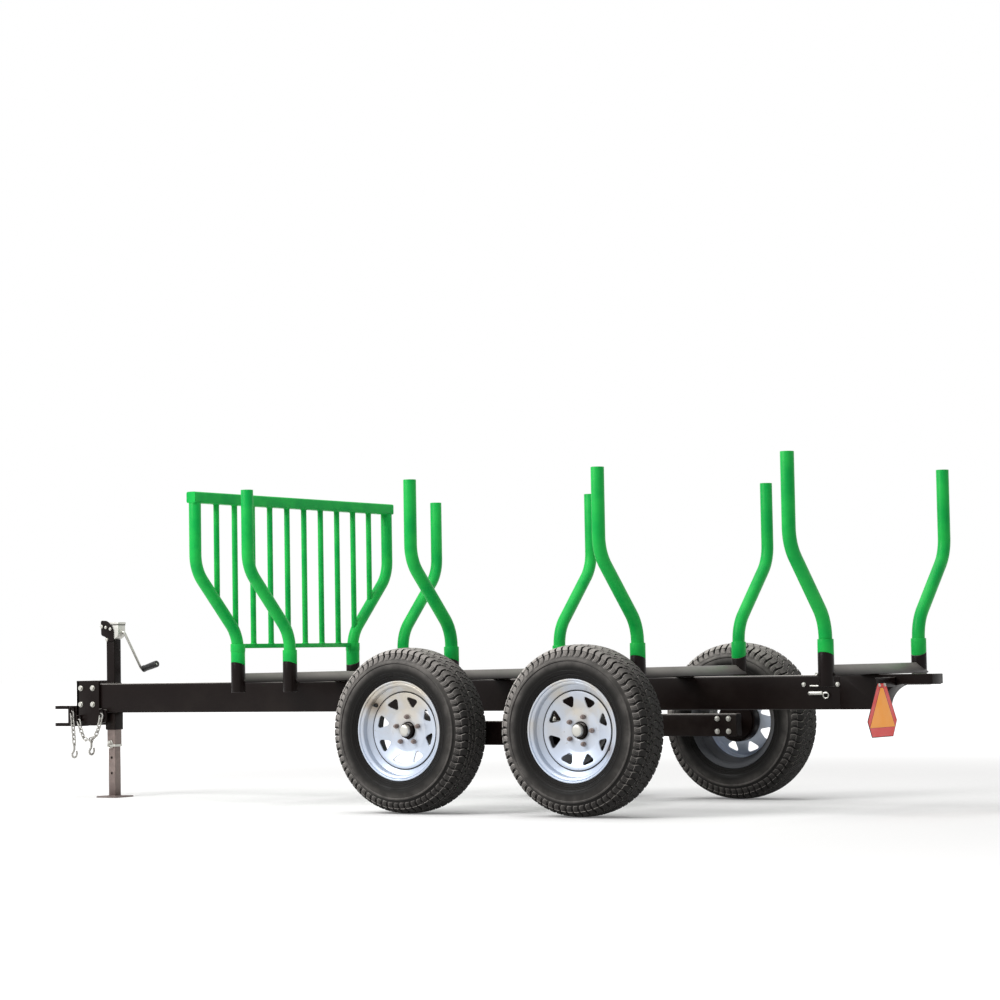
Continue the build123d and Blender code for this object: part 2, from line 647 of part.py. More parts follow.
grip -= grip_plane * Cylinder(CRANK_R + 0.3, 130, align=(Align.CENTER, Align.CENTER, Align.MIN))
parts["crank_grip"] = grip

# Warning triangle
sign = [
    (-37, 0), (37, 0), (135, -150), (97, -214), (-97, -214), (-135, -150),
]
sign_pts = [(SIGN_Y + y, SIGN_TOP + z) for y, z in sign]
parts["warning_triangle"] = plate_x(sign_pts, SIGN_X - 2, SIGN_X)

for name, shape in parts.items():
    shape.label = name
    export_step(shape, "parts/" + name + ".step")
print(len(parts), "parts")
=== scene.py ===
"""Log trailer: its looks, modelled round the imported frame.

Forms are in millimetres until they are finished, and pieces are in metres.
"""
from math import cos, pi, radians, sin, sqrt, tan

import bmesh
import bpy
from bpy.props import FloatProperty, FloatVectorProperty, IntProperty, PointerProperty
from mathutils import Matrix, Vector


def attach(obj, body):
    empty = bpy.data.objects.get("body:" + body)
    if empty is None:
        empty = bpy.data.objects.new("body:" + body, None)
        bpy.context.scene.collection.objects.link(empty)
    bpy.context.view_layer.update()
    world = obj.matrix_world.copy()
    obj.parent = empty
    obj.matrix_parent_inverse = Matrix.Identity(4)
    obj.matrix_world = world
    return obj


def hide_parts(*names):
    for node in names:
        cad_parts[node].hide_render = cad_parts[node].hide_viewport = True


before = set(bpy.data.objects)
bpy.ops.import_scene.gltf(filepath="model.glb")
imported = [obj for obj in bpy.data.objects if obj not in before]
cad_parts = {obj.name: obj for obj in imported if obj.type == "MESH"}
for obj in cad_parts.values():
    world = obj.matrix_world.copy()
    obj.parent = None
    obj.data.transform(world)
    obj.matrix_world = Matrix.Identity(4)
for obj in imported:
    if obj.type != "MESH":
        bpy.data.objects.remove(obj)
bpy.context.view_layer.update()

bl_info = {
    "name": "Log trailer",
    "version": (1, 0, 0),
    "blender": (4, 5, 0),
    "location": "3D View > Sidebar > Log trailer",
    "description": "Models a tandem-axle log trailer round its packed frame",
    "category": "Object",
}

MM = 1000.0

# Places of the pieces, as in the part's source
BEAM_HALF = 50.0
BEAM_LOW = 410.0
BEAM_TOP = 550.0
BEAM_FRONT = 2150.0
SEAM_X = -1950.0
REAR_X = -2355.0
SHELF_X = -2230.0
SHELF_Z = 510.0
HEAD_X = 852.0
BUNKS = {
    "bunk_1": 557.0, "bunk_2": -313.0, "bunk_3": -1232.0, "bunk_4": -2080.0, "headboard_bunk": HEAD_X}
ANGLE_APEX = 595.87
STAKE_TOPS = {"1": 1394.0, "2": 1394.0, "3": 1398.0, "4": 1412.0}
SOCKET_Y = 434.0
SOCKET_R = 32.0
CUT_Z = 632.0
CUT_SLOPE = tan(radians(20.0))
COLLAR_TOP = 694.0
BEND_Z = 698.0
BEND_R = 160.0
HALF_BEND = radians(22.5)
STAKE_OUT_Y = 724.0
STAKE_BORE = 60.0
HEAD_TOP = 1352.0
RODS = 5
ROD_PITCH = 128.0
LOW_BAR_Y = 414.0
TANDEM_X = -682.0
WHEEL_X = {"front": -258.0, "rear": -1106.0}
WHEEL_TURN = {"front": 0.0, "rear": 234.0}
WINDOWS = 8
WINDOW_TURN = 16.25
VALVE_R = 176.0
VALVE_AT = {"front": 37.0, "rear": 205.0}
STUDS = 5
STUD_R = 57.15
WHEEL_Y = 674.0
WHEEL_Z = 346.0
TYRE_R = 346.0
AXLE_Z = 331.0
BOGIE_Y = 531.0
HITCH_X = 2165.0
CHEEK_Y = 62.0
SIDE_CHAIN_Y = 78.0
FRONT_CHAIN_Y = 41.0
JACK_X = 1978.0
CRANK_Z = 800.0
CRANK_X = 1910.0
CRANK_ARM = 223.0
GRIP_REACH = 117.0
HEAD_LOW = 764.3
JACK_PIN_Z = 267.0
JACK_PAINT_Z = 480.0
PIN_X = -1815.0
PIN_Z = 477.0
SIGN_X = -2198.0
SIGN_Y = 190.0
SIGN_TOP = 518.0
SIGN_T = 2.0

# Camera: place in metres, turns in radians, focal length in widths of the picture
EYE = Vector((-6.7084, 9.7816, 0.6441))
YAW = 0.580757
PITCH = 0.0593037
ROLL = -0.0175930
FOCAL = 2.65174

# Lamps: name, place, aim and size in metres, power in watts
LAMPS = (
    ("key", (3.4, 6.0, 5.6), (-0.2, 0.3, 0.5), 4.5, 520.0),
    ("top", (0.5, 0.0, 6.5), (0.0, 0.0, 0.0), 6.0, 240.0),
)
FLOOR_HALF = 60.0


def length(label, text, value):
    """A length property in metres."""
    return FloatProperty(name=label, description=text, default=value, min=0.0, unit="LENGTH")


class TrailerSizes(bpy.types.PropertyGroup):
    """Sizes that may be changed without a new frame"""

    edge_round: length("Edge rounding", "Rounding of plate edges", 0.0012)
    tube_round: length("Tube corners", "Corner radius of the square tubes", 0.008)
    weld_bead: length("Weld bead", "Half width of the weld beads", 0.0032)
    bolt_across: length("Bolt head", "Width of the bolt heads across their flats", 0.022)
    stake_radius: length("Stake radius", "Outer radius of the bent stakes", 0.027)
    stake_wall: length("Stake wall", "Wall of the bent stakes", 0.004)
    rod_radius: length("Rod radius", "Radius of the upright rods", 0.013)
    tread_depth: length("Tread depth", "Depth of the tyre tread", 0.0075)
    tread_pitches: IntProperty(
        name="Tread pitches", description="Shoulder lugs on one side of a tyre", default=66, min=12)
    link_wire: length("Link wire", "Wire of the chain links", 0.007)


def colour(label, text, value):
    """A colour property with three channels."""
    return FloatVectorProperty(
        name=label, description=text, default=value, subtype="COLOR", size=3, min=0.0, max=1.0)


class TrailerColours(bpy.types.PropertyGroup):
    """Paints and platings"""

    frame_black: colour("Frame black", "Gloss paint of the frame", (0.0060, 0.0030, 0.0026))
    stake_green: colour("Stake green", "Gloss paint of the stakes", (0.003, 0.46, 0.075))
    wheel_silver: colour("Wheel silver", "Paint of the rims", (0.62, 0.64, 0.68))
    zinc: colour("Zinc", "Plating of the jack's head and the bolts", (0.54, 0.51, 0.49))
    chain: colour("Chain zinc", "Plating of the chains", (0.36, 0.32, 0.28))
    worn_steel: colour("Worn steel", "Dull plating of the jack's tube and leg", (0.205, 0.160, 0.145))
    rubber: colour("Rubber", "Sidewall of the tyres", (0.0075, 0.0068, 0.0062))
    dust: colour("Dust", "Dry dust on the frame", (0.15, 0.125, 0.10))
    # Also painted light: the sheen on faces that lie up and the lit faces of the tyres.
    pale_dust_and_light: colour("Pale dust", "Dust on top of the beams and the tyres", (0.50, 0.465, 0.435))
    rust: colour("Rust", "Rust specks", (0.16, 0.05, 0.02))
    sign_orange: colour("Sign orange", "Middle of the warning triangle", (1.0, 0.36, 0.006))
    sign_red: colour("Sign red", "Border of the warning triangle", (0.88, 0.040, 0.030))
    # The dark inner line is painted shade along the edge of the orange.
    sign_shade: colour("Sign dark red", "Inner line of the warning triangle", (0.42, 0.012, 0.010))


def sizes():
    """The sizes of this scene."""
    return bpy.context.scene.trailer_sizes


def tint(name):
    """A colour of this scene, with its alpha."""
    return (*getattr(bpy.context.scene.trailer_colours, name), 1.0)


# Materials


class Tone:
    """A socket of a recipe that takes part in sums."""

    def __init__(self, recipe, socket):
        self.recipe = recipe
        self.socket = socket

    def sum(self, kind, first, second):
        """Adds a Math node; either value may be a plain number."""
        return self.recipe.add("ShaderNodeMath", {"operation": kind}, {0: first, 1: second})

    def __add__(self, other):
        return self.sum("ADD", self, other)

    def __radd__(self, other):
        return self.sum("ADD", other, self)

    def __sub__(self, other):
        return self.sum("SUBTRACT", self, other)

    def __rsub__(self, other):
        return self.sum("SUBTRACT", other, self)

    def __mul__(self, other):
        return self.sum("MULTIPLY", self, other)

    def __rmul__(self, other):
        return self.sum("MULTIPLY", other, self)


class Recipe:
    """A material, or the world, while its nodes are laid out."""

    def __init__(self, name, owner=None):
        self.material = owner or bpy.data.materials.new(name)
        self.material.use_nodes = True
        self.tree = self.material.node_tree
        self.tree.nodes.clear()
        self.place = self.add("ShaderNodeTexCoord", out="Object")

    def add(self, kind, settings=None, values=None, out=0):
        """Adds a node: its settings first, then the values or links of its sockets."""
        node = self.tree.nodes.new(kind)
        for key, value in (settings or {}).items():
            setattr(node, key, value)
        for key, value in (values or {}).items():
            if isinstance(value, Tone):
                self.tree.links.new(value.socket, node.inputs[key])
            else:
                node.inputs[key].default_value = value
        if not len(node.outputs):
            return None
        return Tone(self, node.outputs[out])

    def mix(self, share, first, second):
        """One colour where share is 0, another where it is 1."""
        return self.add("ShaderNodeMix", {"data_type": "RGBA"}, {0: share, 6: first, 7: second}, out=2)

    def noise(self, scale, detail=3.0, rough=0.5):
        """Noise of about 0 to 1, with its scale in turns to the metre."""
        values = {"Vector": self.place, "Scale": scale, "Detail": detail, "Roughness": rough}
        return self.add("ShaderNodeTexNoise", None, values)

    def band(self, value, low, high):
        """Rises smoothly from 0 at low to 1 at high."""
        values = {0: value, 1: low, 2: high, 3: 0.0, 4: 1.0}
        return self.add("ShaderNodeMapRange", {"interpolation_type": "SMOOTHSTEP"}, values)

    def part_of(self, vector, axis):
        """One of the three numbers of a vector."""
        return self.add("ShaderNodeSeparateXYZ", None, {0: vector}, out=axis)

    def height(self):
        """Height over the ground in metres."""
        return self.part_of(self.place, "Z")

    def vector(self, kind, first, second, out="Vector"):
        """Adds a Vector Math node."""
        return self.add("ShaderNodeVectorMath", {"operation": kind}, {0: first, 1: second}, out)

    def facing(self, way):
        """1 where the surface faces along a unit vector, 0 across it, -1 away from it."""
        return self.vector("DOT_PRODUCT", self.add("ShaderNodeNewGeometry", out="Normal"), way, "Value")

    def wheel_distance(self, x, z):
        """Distance in the wheels' plane to a point, in metres."""
        flat = self.vector("MULTIPLY", self.place, (1.0, 0.0, 1.0))
        return self.vector("DISTANCE", flat, (x, 0.0, z), "Value")

    def from_wheel(self):
        """Distance in the wheels' plane to the nearer of the two axles."""
        front, rear = (self.wheel_distance(x / MM, WHEEL_Z / MM) for x in WHEEL_X.values())
        return front.sum("MINIMUM", front, rear)

    def bump(self, height, distance, strength):
        """A normal from a height, with the distance in metres."""
        values = {"Height": height, "Distance": distance, "Strength": strength}
        return self.add("ShaderNodeBump", None, values)

    def surface(self, values):
        """Ends the material with one Principled shader."""
        shader = self.add("ShaderNodeBsdfPrincipled", None, values)
        self.add("ShaderNodeOutputMaterial", None, {"Surface": shader})
        return self.material


def frame_black():
    """Black paint, near smooth, with pale dust and painted sheen where it lies up, and a few rust specks
    low down.
    """
    mix = Recipe("frame_black")
    fine = mix.noise(320.0, 2.0)
    patches = mix.noise(5.0, 6.0, 0.6)
    # Faces that lie up turn pale: dust, and painted sheen where the glossy top is seen at a grazing angle.
    lying_dust_and_sheen = mix.band(mix.facing((0.0, 0.0, 1.0)), 0.55, 0.75)
    low = 1.0 - mix.band(mix.height(), 0.2, 0.62)
    dusty = mix.band(patches, 0.38, 0.75) * (0.01 + 0.07 * low)
    specks = mix.band(mix.noise(75.0, 4.0, 0.7), 0.71, 0.77) * (0.05 + 0.4 * low)
    paint = mix.mix(dusty, tint("frame_black"), tint("dust"))
    paint = mix.mix(lying_dust_and_sheen * (0.30 + 0.35 * patches), paint, tint("pale_dust_and_light"))
    return mix.surface({
        "Base Color": mix.mix(specks, paint, tint("rust")),
        "Roughness": 0.26 + 1.2 * dusty + 0.14 * mix.noise(38.0, 4.0) + 0.3 * specks,
        "Specular IOR Level": 0.12,
        "Normal": mix.bump(fine + 0.8 * specks, 0.00025, 0.5),
    })


def stake_green():
    """Green paint, a little uneven, with rub marks."""
    mix = Recipe("stake_green")
    green = tint("stake_green")
    light = (green[0] + 0.015, green[1] * 1.12, green[2] * 1.08, 1.0)
    dark = (green[0], green[1] * 0.86, green[2] * 0.9, 1.0)
    cloud = mix.noise(9.0, 5.0)
    rub = mix.band(mix.noise(22.0, 8.0, 0.72), 0.62, 0.72)
    paint = mix.mix(mix.band(cloud, 0.3, 0.7), dark, light)
    return mix.surface({
        "Base Color": mix.mix(0.2 * rub, paint, (0.02, 0.24, 0.06, 1.0)),
        "Roughness": 0.3 + 0.22 * rub + 0.12 * mix.noise(60.0, 3.0),
        "Specular IOR Level": 0.12,
        "Normal": mix.bump(mix.noise(260.0, 2.0), 0.0003, 0.5),
    })


def spot_stain(mix, x, z, reach):
    """1 at a point of the wheels' outer faces, falling to 0 at its reach."""
    return 1.0 - mix.band(mix.wheel_distance(x, z), 0.004, reach)


def wheel_silver():
    """Silver wheel paint with fine flake and brown stains, warmer towards the top and cooler below, and
    painted shade on the barrel at the back of the disc.
    """
    mix = Recipe("wheel_silver")
    silver = tint("wheel_silver")
    warm = (silver[0] * 0.96, silver[1] * 0.86, silver[2] * 0.70, 1.0)
    cool = (silver[0] * 0.90, silver[1] * 0.98, silver[2] * 1.10, 1.0)
    high = mix.band(mix.height(), 0.22, 0.46)
    cloud = mix.band(mix.noise(9.0, 5.0), 0.35, 0.66)
    stain = mix.band(mix.noise(40.0, 6.0, 0.7), 0.60, 0.74)
    paint = mix.mix(high * (0.25 + 0.75 * cloud), cool, warm)
    paint = mix.mix(stain * 0.4, paint, (0.24, 0.18, 0.12, 1.0))
    for row, x in WHEEL_X.items():
        a = radians(VALVE_AT[row])
        spot = spot_stain(mix, (x + VALVE_R * cos(a)) / MM, (WHEEL_Z + VALVE_R * sin(a)) / MM, 0.05)
        paint = mix.mix(spot * 0.6, paint, (0.20, 0.13, 0.08, 1.0))
    # Painted shade: the barrel at the back of the disc, seen through the windows, is painted near black.
    side = mix.add("ShaderNodeMath", {"operation": "ABSOLUTE"}, {0: mix.part_of(mix.place, "Y")})
    back_shade = 1.0 - mix.band(side, 0.672, 0.683)
    return mix.surface({
        "Base Color": mix.mix(back_shade * 0.93, paint, (0.012, 0.010, 0.009, 1.0)),
        "Metallic": 0.3 - 0.3 * back_shade,
        "Roughness": 0.3 + 0.12 * mix.noise(700.0, 2.0) + 0.25 * stain + 0.3 * back_shade,
        "Normal": mix.bump(mix.noise(420.0, 2.0), 0.0002, 0.5),
    })


def plated(name, colour_name, dull, scale):
    """Zinc plating with its spangle, dull patches and rust."""
    mix = Recipe(name)
    base = tint(colour_name)
    pale = tuple(min(1.0, c * 1.25) for c in base[:3]) + (1.0,)
    cells = mix.add("ShaderNodeTexVoronoi", None, {"Vector": mix.place, "Scale": scale}, out="Color")
    spangle = mix.part_of(cells, "X")
    patch = mix.band(mix.noise(30.0, 6.0, 0.65), 0.48, 0.72)
    specks = mix.band(mix.noise(130.0, 5.0, 0.7), 0.66, 0.74)
    plate = mix.mix(spangle * 0.5 + 0.3 * patch, base, pale)
    return mix.surface({
        "Base Color": mix.mix(specks * 0.6, plate, tint("rust")),
        "Metallic": 0.75 - 0.4 * patch,
        "Roughness": dull + 0.12 * spangle + 0.22 * patch + 0.2 * specks,
        "Normal": mix.bump(mix.noise(300.0, 3.0) + 0.6 * patch, 0.0003, 0.5),
    })


def zinc():
    """Bright plating of the jack's head and the bolts."""
    return plated("zinc", "zinc", 0.3, 240.0)


def chain_zinc():
    """Duller plating of the chains."""
    return plated("chain_zinc", "chain", 0.34, 420.0)


def worn_steel():
    """Dull steel with rubbed plating and brown stains."""
    mix = Recipe("worn_steel")
    base = tint("worn_steel")
    pale = tuple(min(1.0, c * 1.5) for c in base[:3]) + (1.0,)
    patch = mix.band(mix.noise(34.0, 6.0, 0.65), 0.42, 0.68)
    specks = mix.band(mix.noise(120.0, 5.0, 0.7), 0.62, 0.72)
    low = 1.0 - mix.band(mix.height(), 0.01, 0.12)
    plate = mix.mix(patch * 0.6, base, pale)
    plate = mix.mix(0.45 * low, plate, (0.09, 0.062, 0.058, 1.0))
    return mix.surface({
        "Base Color": mix.mix(specks * 0.5, plate, tint("rust")),
        "Metallic": 0.35 - 0.2 * patch,
        "Roughness": 0.42 + 0.2 * patch + 0.2 * specks,
        "Normal": mix.bump(mix.noise(240.0, 4.0) + 0.5 * patch, 0.0003, 0.5),
    })


def rubber():
    """Satin black sidewall with a pale ring under the lugs, dust with painted light where it faces the
    lamps; the grooves between them stay black.
    """
    mix = Recipe("rubber")
    film = mix.band(mix.noise(14.0, 6.0, 0.65), 0.36, 0.72)
    away = mix.from_wheel()
    outer = mix.band(away, 0.246, 0.286) * (1.0 - mix.band(away, 0.304, 0.316))
    # The ring is paler on faces turned to the key lamp: painted light over the dust.
    lit = mix.band(mix.facing((0.42, 0.42, 0.80)), -0.35, 0.85)
    share = 0.008 * film + outer * lit * (0.14 + 0.20 * film)
    return mix.surface({
        "Base Color": mix.mix(share, tint("rubber"), tint("pale_dust_and_light")),
        "Roughness": 0.42 + 0.25 * film,
        "Specular IOR Level": 0.14,
        "Normal": mix.bump(mix.noise(500.0, 3.0), 0.0002, 0.5),
    })


def tread():
    """Worn tread rubber, pale on the lugs that face up and forward: painted light from the key lamp, varied
    by patches of dust.
    """
    mix = Recipe("tread")
    film = mix.band(mix.noise(30.0, 6.0, 0.7), 0.30, 0.70)
    # Lugs turned towards the key lamp are painted pale: painted light, with dust in its patches.
    lit = mix.band(mix.facing((0.58, 0.30, 0.76)), -0.15, 0.95)
    return mix.surface({
        "Base Color": mix.mix(0.015 + lit * (0.60 + 0.38 * film), tint("rubber"), tint("pale_dust_and_light")),
        "Roughness": 0.62 + 0.25 * film,
        "Specular IOR Level": 0.25,
        "Normal": mix.bump(mix.noise(420.0, 4.0), 0.0004, 0.6),
    })


def grip_black_and_groove_shade():
    """Moulded black plastic with worn ribs; on the rims it is also painted shade in the groove near the
    disc's edge.
    """
    mix = Recipe("grip_black_and_groove_shade")
    wear = mix.band(mix.noise(90.0, 5.0), 0.5, 0.75)
    return mix.surface({
        "Base Color": mix.mix(0.3 * wear, (0.012, 0.012, 0.013, 1.0), (0.07, 0.065, 0.06, 1.0)),
        "Roughness": 0.42 + 0.25 * wear,
        "Normal": mix.bump(mix.noise(600.0, 2.0), 0.0002, 0.5),
    })


def sheeting(name, colour_name, glow):
    """Reflecting sheet with its fine cells and a painted glow."""
    mix = Recipe(name)
    base = tint(colour_name)
    dark = (base[0] * 0.72, base[1] * 0.6, base[2] * 0.6, 1.0)
    cells = mix.add(
        "ShaderNodeTexVoronoi", {"feature": "DISTANCE_TO_EDGE"}, {"Vector": mix.place, "Scale": 320.0})
    lines = 1.0 - mix.band(cells, 0.02, 0.10)
    fade = mix.band(mix.noise(12.0, 5.0), 0.35, 0.7)
    return mix.surface({
        "Base Color": mix.mix(0.25 * lines + 0.15 * fade, base, dark),
        "Roughness": 0.28 + 0.15 * fade,
        # Emission is painted light: the sheet glows though it is no lamp.
        "Emission Color": base,
        "Emission Strength": glow,
        "Normal": mix.bump(lines, 0.0001, 0.4),
    })


def sign_orange():
    """Glowing middle of the warning triangle."""
    return sheeting("sign_orange", "sign_orange", 0.18)


def sign_red():
    """Border of the warning triangle, with a faint painted glow."""
    return sheeting("sign_red", "sign_red", 0.05)


def sign_shade():
    """Dark line round its middle: painted shade along the edge of the orange."""
    return sheeting("sign_shade", "sign_shade", 0.0)


FINISHES = {
    f.__name__: f
    for f in (frame_black, stake_green, wheel_silver, zinc, chain_zinc, worn_steel, rubber, tread,
              grip_black_and_groove_shade, sign_orange, sign_red, sign_shade)
}


def finish(name):
    """The material of that name, made the first time it is asked for."""
    return bpy.data.materials.get(name) or FINISHES[name]()


# Forms


def ends(made, kind):
    """The new verts, edges or faces in what an operator gives back."""
    return [g for g in made if isinstance(g, kind)]


def move(x, y, z):
    """The place of a form that is only moved."""
    return Matrix.Translation((x, y, z))


def facing(way):
    """Turns the Z axis to a direction."""
    return Vector(way).to_track_quat("Z", "Y").to_matrix().to_4x4()


def at(x, y, z, way=(0, 0, 1)):
    """The place of a form that stands on a point and points along a direction."""
    return move(x, y, z) @ facing(way)


def outward(bm):
    """Points the faces of a closed form outwards."""
    bmesh.ops.recalc_face_normals(bm, faces=bm.faces[:])


def soften(bm, width, steps=2, limit=30.0, edges=None):
    """Rounds the sharp edges of a form."""
    if edges is None:
        edges = [e for e in bm.edges if e.is_manifold and e.calc_face_angle(0.0) > radians(limit)]
    bmesh.ops.bevel(bm, geom=edges, offset=width, offset_type="OFFSET", segments=steps, profile=0.5,
                    affect="EDGES", clamp_overlap=True, material=-1)


def put(target, form, place=Matrix(), paint=None):
    """Adds a copy of a form to a piece, at a place, in one finish or in the form's own."""
    mesh = bpy.data.meshes.new("form")
    form.to_mesh(mesh)
    mesh.transform(place)
    if place.determinant() < 0.0:
        mesh.flip_normals()
    if paint is not None:
        for poly in mesh.polygons:
            poly.material_index = paint
    target.from_mesh(mesh)
    bpy.data.meshes.remove(mesh)


def copied(form, place, paint=None):
    """A new form that is a copy of another at a place."""
    made = bmesh.new()
    put(made, form, place, paint)
    return made


def flip():
    """The place that mirrors a form to the trailer's right side."""
    return Matrix.Scale(-1.0, 4, (0, 1, 0))


def both_sides():
    """Each side's name with the place of its forms, which are made for the left side."""
    return (("left", Matrix()), ("right", flip()))


def box(x0, x1, y0, y1, z0, z1):
    """A box with sharp edges."""
    bm = bmesh.new()
    size = Matrix.Diagonal((x1 - x0, y1 - y0, z1 - z0, 1.0))
    middle = move((x0 + x1) / 2, (y0 + y1) / 2, (z0 + z1) / 2)
    bmesh.ops.create_cube(bm, size=1.0, matrix=middle @ size)
    return bm


def block(x0, x1, y0, y1, z0, z1, edge=None, steps=2):
    """A box with rounded edges."""
    bm = box(x0, x1, y0, y1, z0, z1)
    soften(bm, sizes().edge_round * MM if edge is None else edge, steps)
    return bm


def tube_box(x0, x1, y0, y1, z0, z1, axis):
    """A box whose long edges have the corner radius of a rolled tube."""
    bm = box(x0, x1, y0, y1, z0, z1)
    along = [e for e in bm.edges if abs((e.verts[0].co - e.verts[1].co).normalized()[axis]) > 0.9]
    soften(bm, sizes().tube_round * MM, 4, edges=along)
    soften(bm, 0.8, 1, 60.0)
    return bm


def plate(outline, axis, low, high, corners=None, edge=None):
    """A flat plate: its outline, the axis it is thick along, and its corner radii by number."""
    bm = bmesh.new()
    order = {"X": (2, 0, 1), "Y": (0, 2, 1), "Z": (0, 1, 2)}[axis]
    verts = [bm.verts.new([(a, b, low)[i] for i in order]) for a, b in outline]
    bm.faces.new(verts)
    for number, radius in (corners or {}).items():
        bmesh.ops.bevel(bm, geom=[verts[number]], offset=radius, offset_type="OFFSET",
                        segments=max(4, int(radius / 4)), profile=0.5, affect="VERTICES", material=-1)
    grown = bmesh.ops.extrude_face_region(bm, geom=bm.faces[:])["geom"]
    way = Vector((axis == "X", axis == "Y", axis == "Z")) * (high - low)
    bmesh.ops.translate(bm, verts=ends(grown, bmesh.types.BMVert), vec=way)
    outward(bm)
    soften(bm, sizes().edge_round * MM if edge is None else edge, 2, 50.0)
    return bm


def advance(bm, edges, way):
    """Carries a ring of edges along a vector."""
    made = bmesh.ops.extrude_edge_only(bm, edges=edges)["geom"]
    bmesh.ops.translate(bm, verts=ends(made, bmesh.types.BMVert), vec=way)
    return ends(made, bmesh.types.BMEdge)


def ring_verts(edges):
    """The verts of a ring of edges."""
    return list(dict.fromkeys(v for e in edges for v in e.verts))


def resize(bm, edges, centre, share):
    """Scales a ring about a centre."""
    bmesh.ops.scale(bm, vec=(share, share, share), space=Matrix.Translation(-Vector(centre)),
                    verts=ring_verts(edges))


def turned(section, steps=64, loop=True):
    """A section of radius and height pairs, spun about the Y axis."""
    bm = bmesh.new()
    verts = [bm.verts.new((r, y, 0.0)) for r, y in section]
    pairs = list(zip(verts, verts[1:]))
    if loop:
        pairs.append((verts[-1], verts[0]))
    edges = [bm.edges.new(p) for p in pairs]
    bmesh.ops.spin(bm, geom=verts + edges, cent=(0, 0, 0), axis=(0, 1, 0), dvec=(0, 0, 0), angle=2 * pi,
                   steps=steps, use_merge=True, use_duplicate=False)
    bmesh.ops.remove_doubles(bm, verts=bm.verts[:], dist=0.001)
    outward(bm)
    return bm


def post(radius, height, around=24, edge=0.8):
    """A round bar that stands on the XY plane."""
    bm = bmesh.new()
    bmesh.ops.create_cone(bm, cap_ends=True, segments=around, radius1=radius, radius2=radius, depth=height,
                          matrix=move(0, 0, height / 2))
    if edge:
        soften(bm, edge, 2, 60.0)
    return bm


def sleeve(outer, inner, low, high, slope_low=0.0, slope_high=0.0, around=40, edge=1.2):
    """A short pipe along Z whose ends may be cut at a slant across Y."""
    bm = bmesh.new()
    bmesh.ops.create_circle(bm, segments=around, radius=outer, matrix=move(0, 0, low))
    first = bm.edges[:]
    rise = Vector((0, 0, high - low))
    ring = advance(bm, first, rise)
    ring = advance(bm, ring, (0, 0, 0))
    resize(bm, ring, (0, 0, high), inner / outer)
    ring = advance(bm, ring, -rise)
    bmesh.ops.bridge_loops(bm, edges=ring + first)
    for vert in bm.verts:
        top = (vert.co.z - low) / (high - low)
        vert.co.z += vert.co.y * (slope_high * top + slope_low * (1.0 - top))
    outward(bm)
    soften(bm, edge, 2, 60.0)
    return bm


def bar_along(points, bend, radius, around=20, steps=7, hollow=0.0):
    """A round bar or pipe along straight runs, its corners bent to a radius."""
    points = [Vector(p) for p in points]
    way = (points[1] - points[0]).normalized()
    bm = bmesh.new()
    bmesh.ops.create_circle(bm, segments=around, radius=radius,
                            matrix=Matrix.Translation(points[0]) @ facing(way))
    ring = bm.edges[:]
    bmesh.ops.edgeloop_fill(bm, edges=ring)
    here = points[0]
    for corner, after in zip(points[1:], points[2:]):
        onward = (after - corner).normalized()
        angle = way.angle(onward)
        cut = bend * tan(angle / 2)
        ring = advance(bm, ring, corner - way * cut - here)
        axis = way.cross(onward).normalized()
        centre = corner - way * cut + axis.cross(way) * bend
        made = bmesh.ops.spin(bm, geom=ring_verts(ring) + ring, cent=centre, axis=axis, dvec=(0, 0, 0),
                              angle=angle, steps=steps, use_merge=False, use_duplicate=False)
        ring = ends(made["geom_last"], bmesh.types.BMEdge)
        here = corner + onward * cut
        way = onward
    ring = advance(bm, ring, points[-1] - here)
    if hollow:
        ring = advance(bm, ring, (0, 0, 0))
        resize(bm, ring, points[-1], hollow / radius)
        ring = advance(bm, ring, way * -STAKE_BORE)
    bmesh.ops.edgeloop_fill(bm, edges=ring)
    outward(bm)
    soften(bm, min(1.0, radius * 0.12), 2, 60.0)
    return bm


def weld(a, b, step=4.5):
    """A weld bead from a to b, with a ripple at each step."""
    a = Vector(a)
    b = Vector(b)
    radius = sizes().weld_bead * MM
    count = max(3, int((b - a).length / step))
    bm = bmesh.new()
    start = Matrix.Translation(a) @ facing(b - a)
    bmesh.ops.create_circle(bm, segments=8, radius=radius * 0.6, matrix=start)
    ring = bm.edges[:]
    bmesh.ops.edgeloop_fill(bm, edges=ring)
    here = a
    for i in range(count):
        ring = advance(bm, ring, (b - a) / count)
        here = here + (b - a) / count
        last = i == count - 1
        want = 0.6 if last else (1.0 if i % 2 == 0 else 0.82)
        was = 0.6 if i == 0 else (0.82 if i % 2 == 0 else 1.0)
        resize(bm, ring, here, want / was)
    bmesh.ops.edgeloop_fill(bm, edges=ring)
    outward(bm)
    return bm


def ring_weld(radius, around=40):
    """A weld bead round a tube that stands on the XY plane."""
    bead = sizes().weld_bead * MM
    section = [(radius - 1.0, -bead * 0.6), (radius + bead * 0.7, -bead * 0.6), (radius + bead * 0.9, 0.0),
               (radius + bead * 0.3, bead), (radius - 1.0, bead * 1.2)]
    bm = turned(section, around)
    bmesh.ops.rotate(bm, cent=(0, 0, 0), matrix=Matrix.Rotation(pi / 2, 3, "X"), verts=bm.verts[:])
    return bm


def bolt(across=None, head=None):
    """A hex bolt head on its washer, standing on the XY plane."""
    across = across or sizes().bolt_across * MM
    head = head or across * 0.36
    bm = bmesh.new()
    bmesh.ops.create_cone(bm, cap_ends=True, segments=24, radius1=across * 0.74, radius2=across * 0.70,
                          depth=2.2, matrix=move(0, 0, 1.1))
    top = bmesh.new()
    corner = across / sqrt(3)
    bmesh.ops.create_cone(top, cap_ends=True, segments=6, radius1=corner, radius2=corner, depth=head,
                          matrix=move(0, 0, 2.2 + head / 2))
    upper = [e for e in top.edges if all(v.co.z > 2.3 for v in e.verts)]
    soften(top, across * 0.07, 2, edges=upper)
    put(bm, top)
    top.free()
    return bm


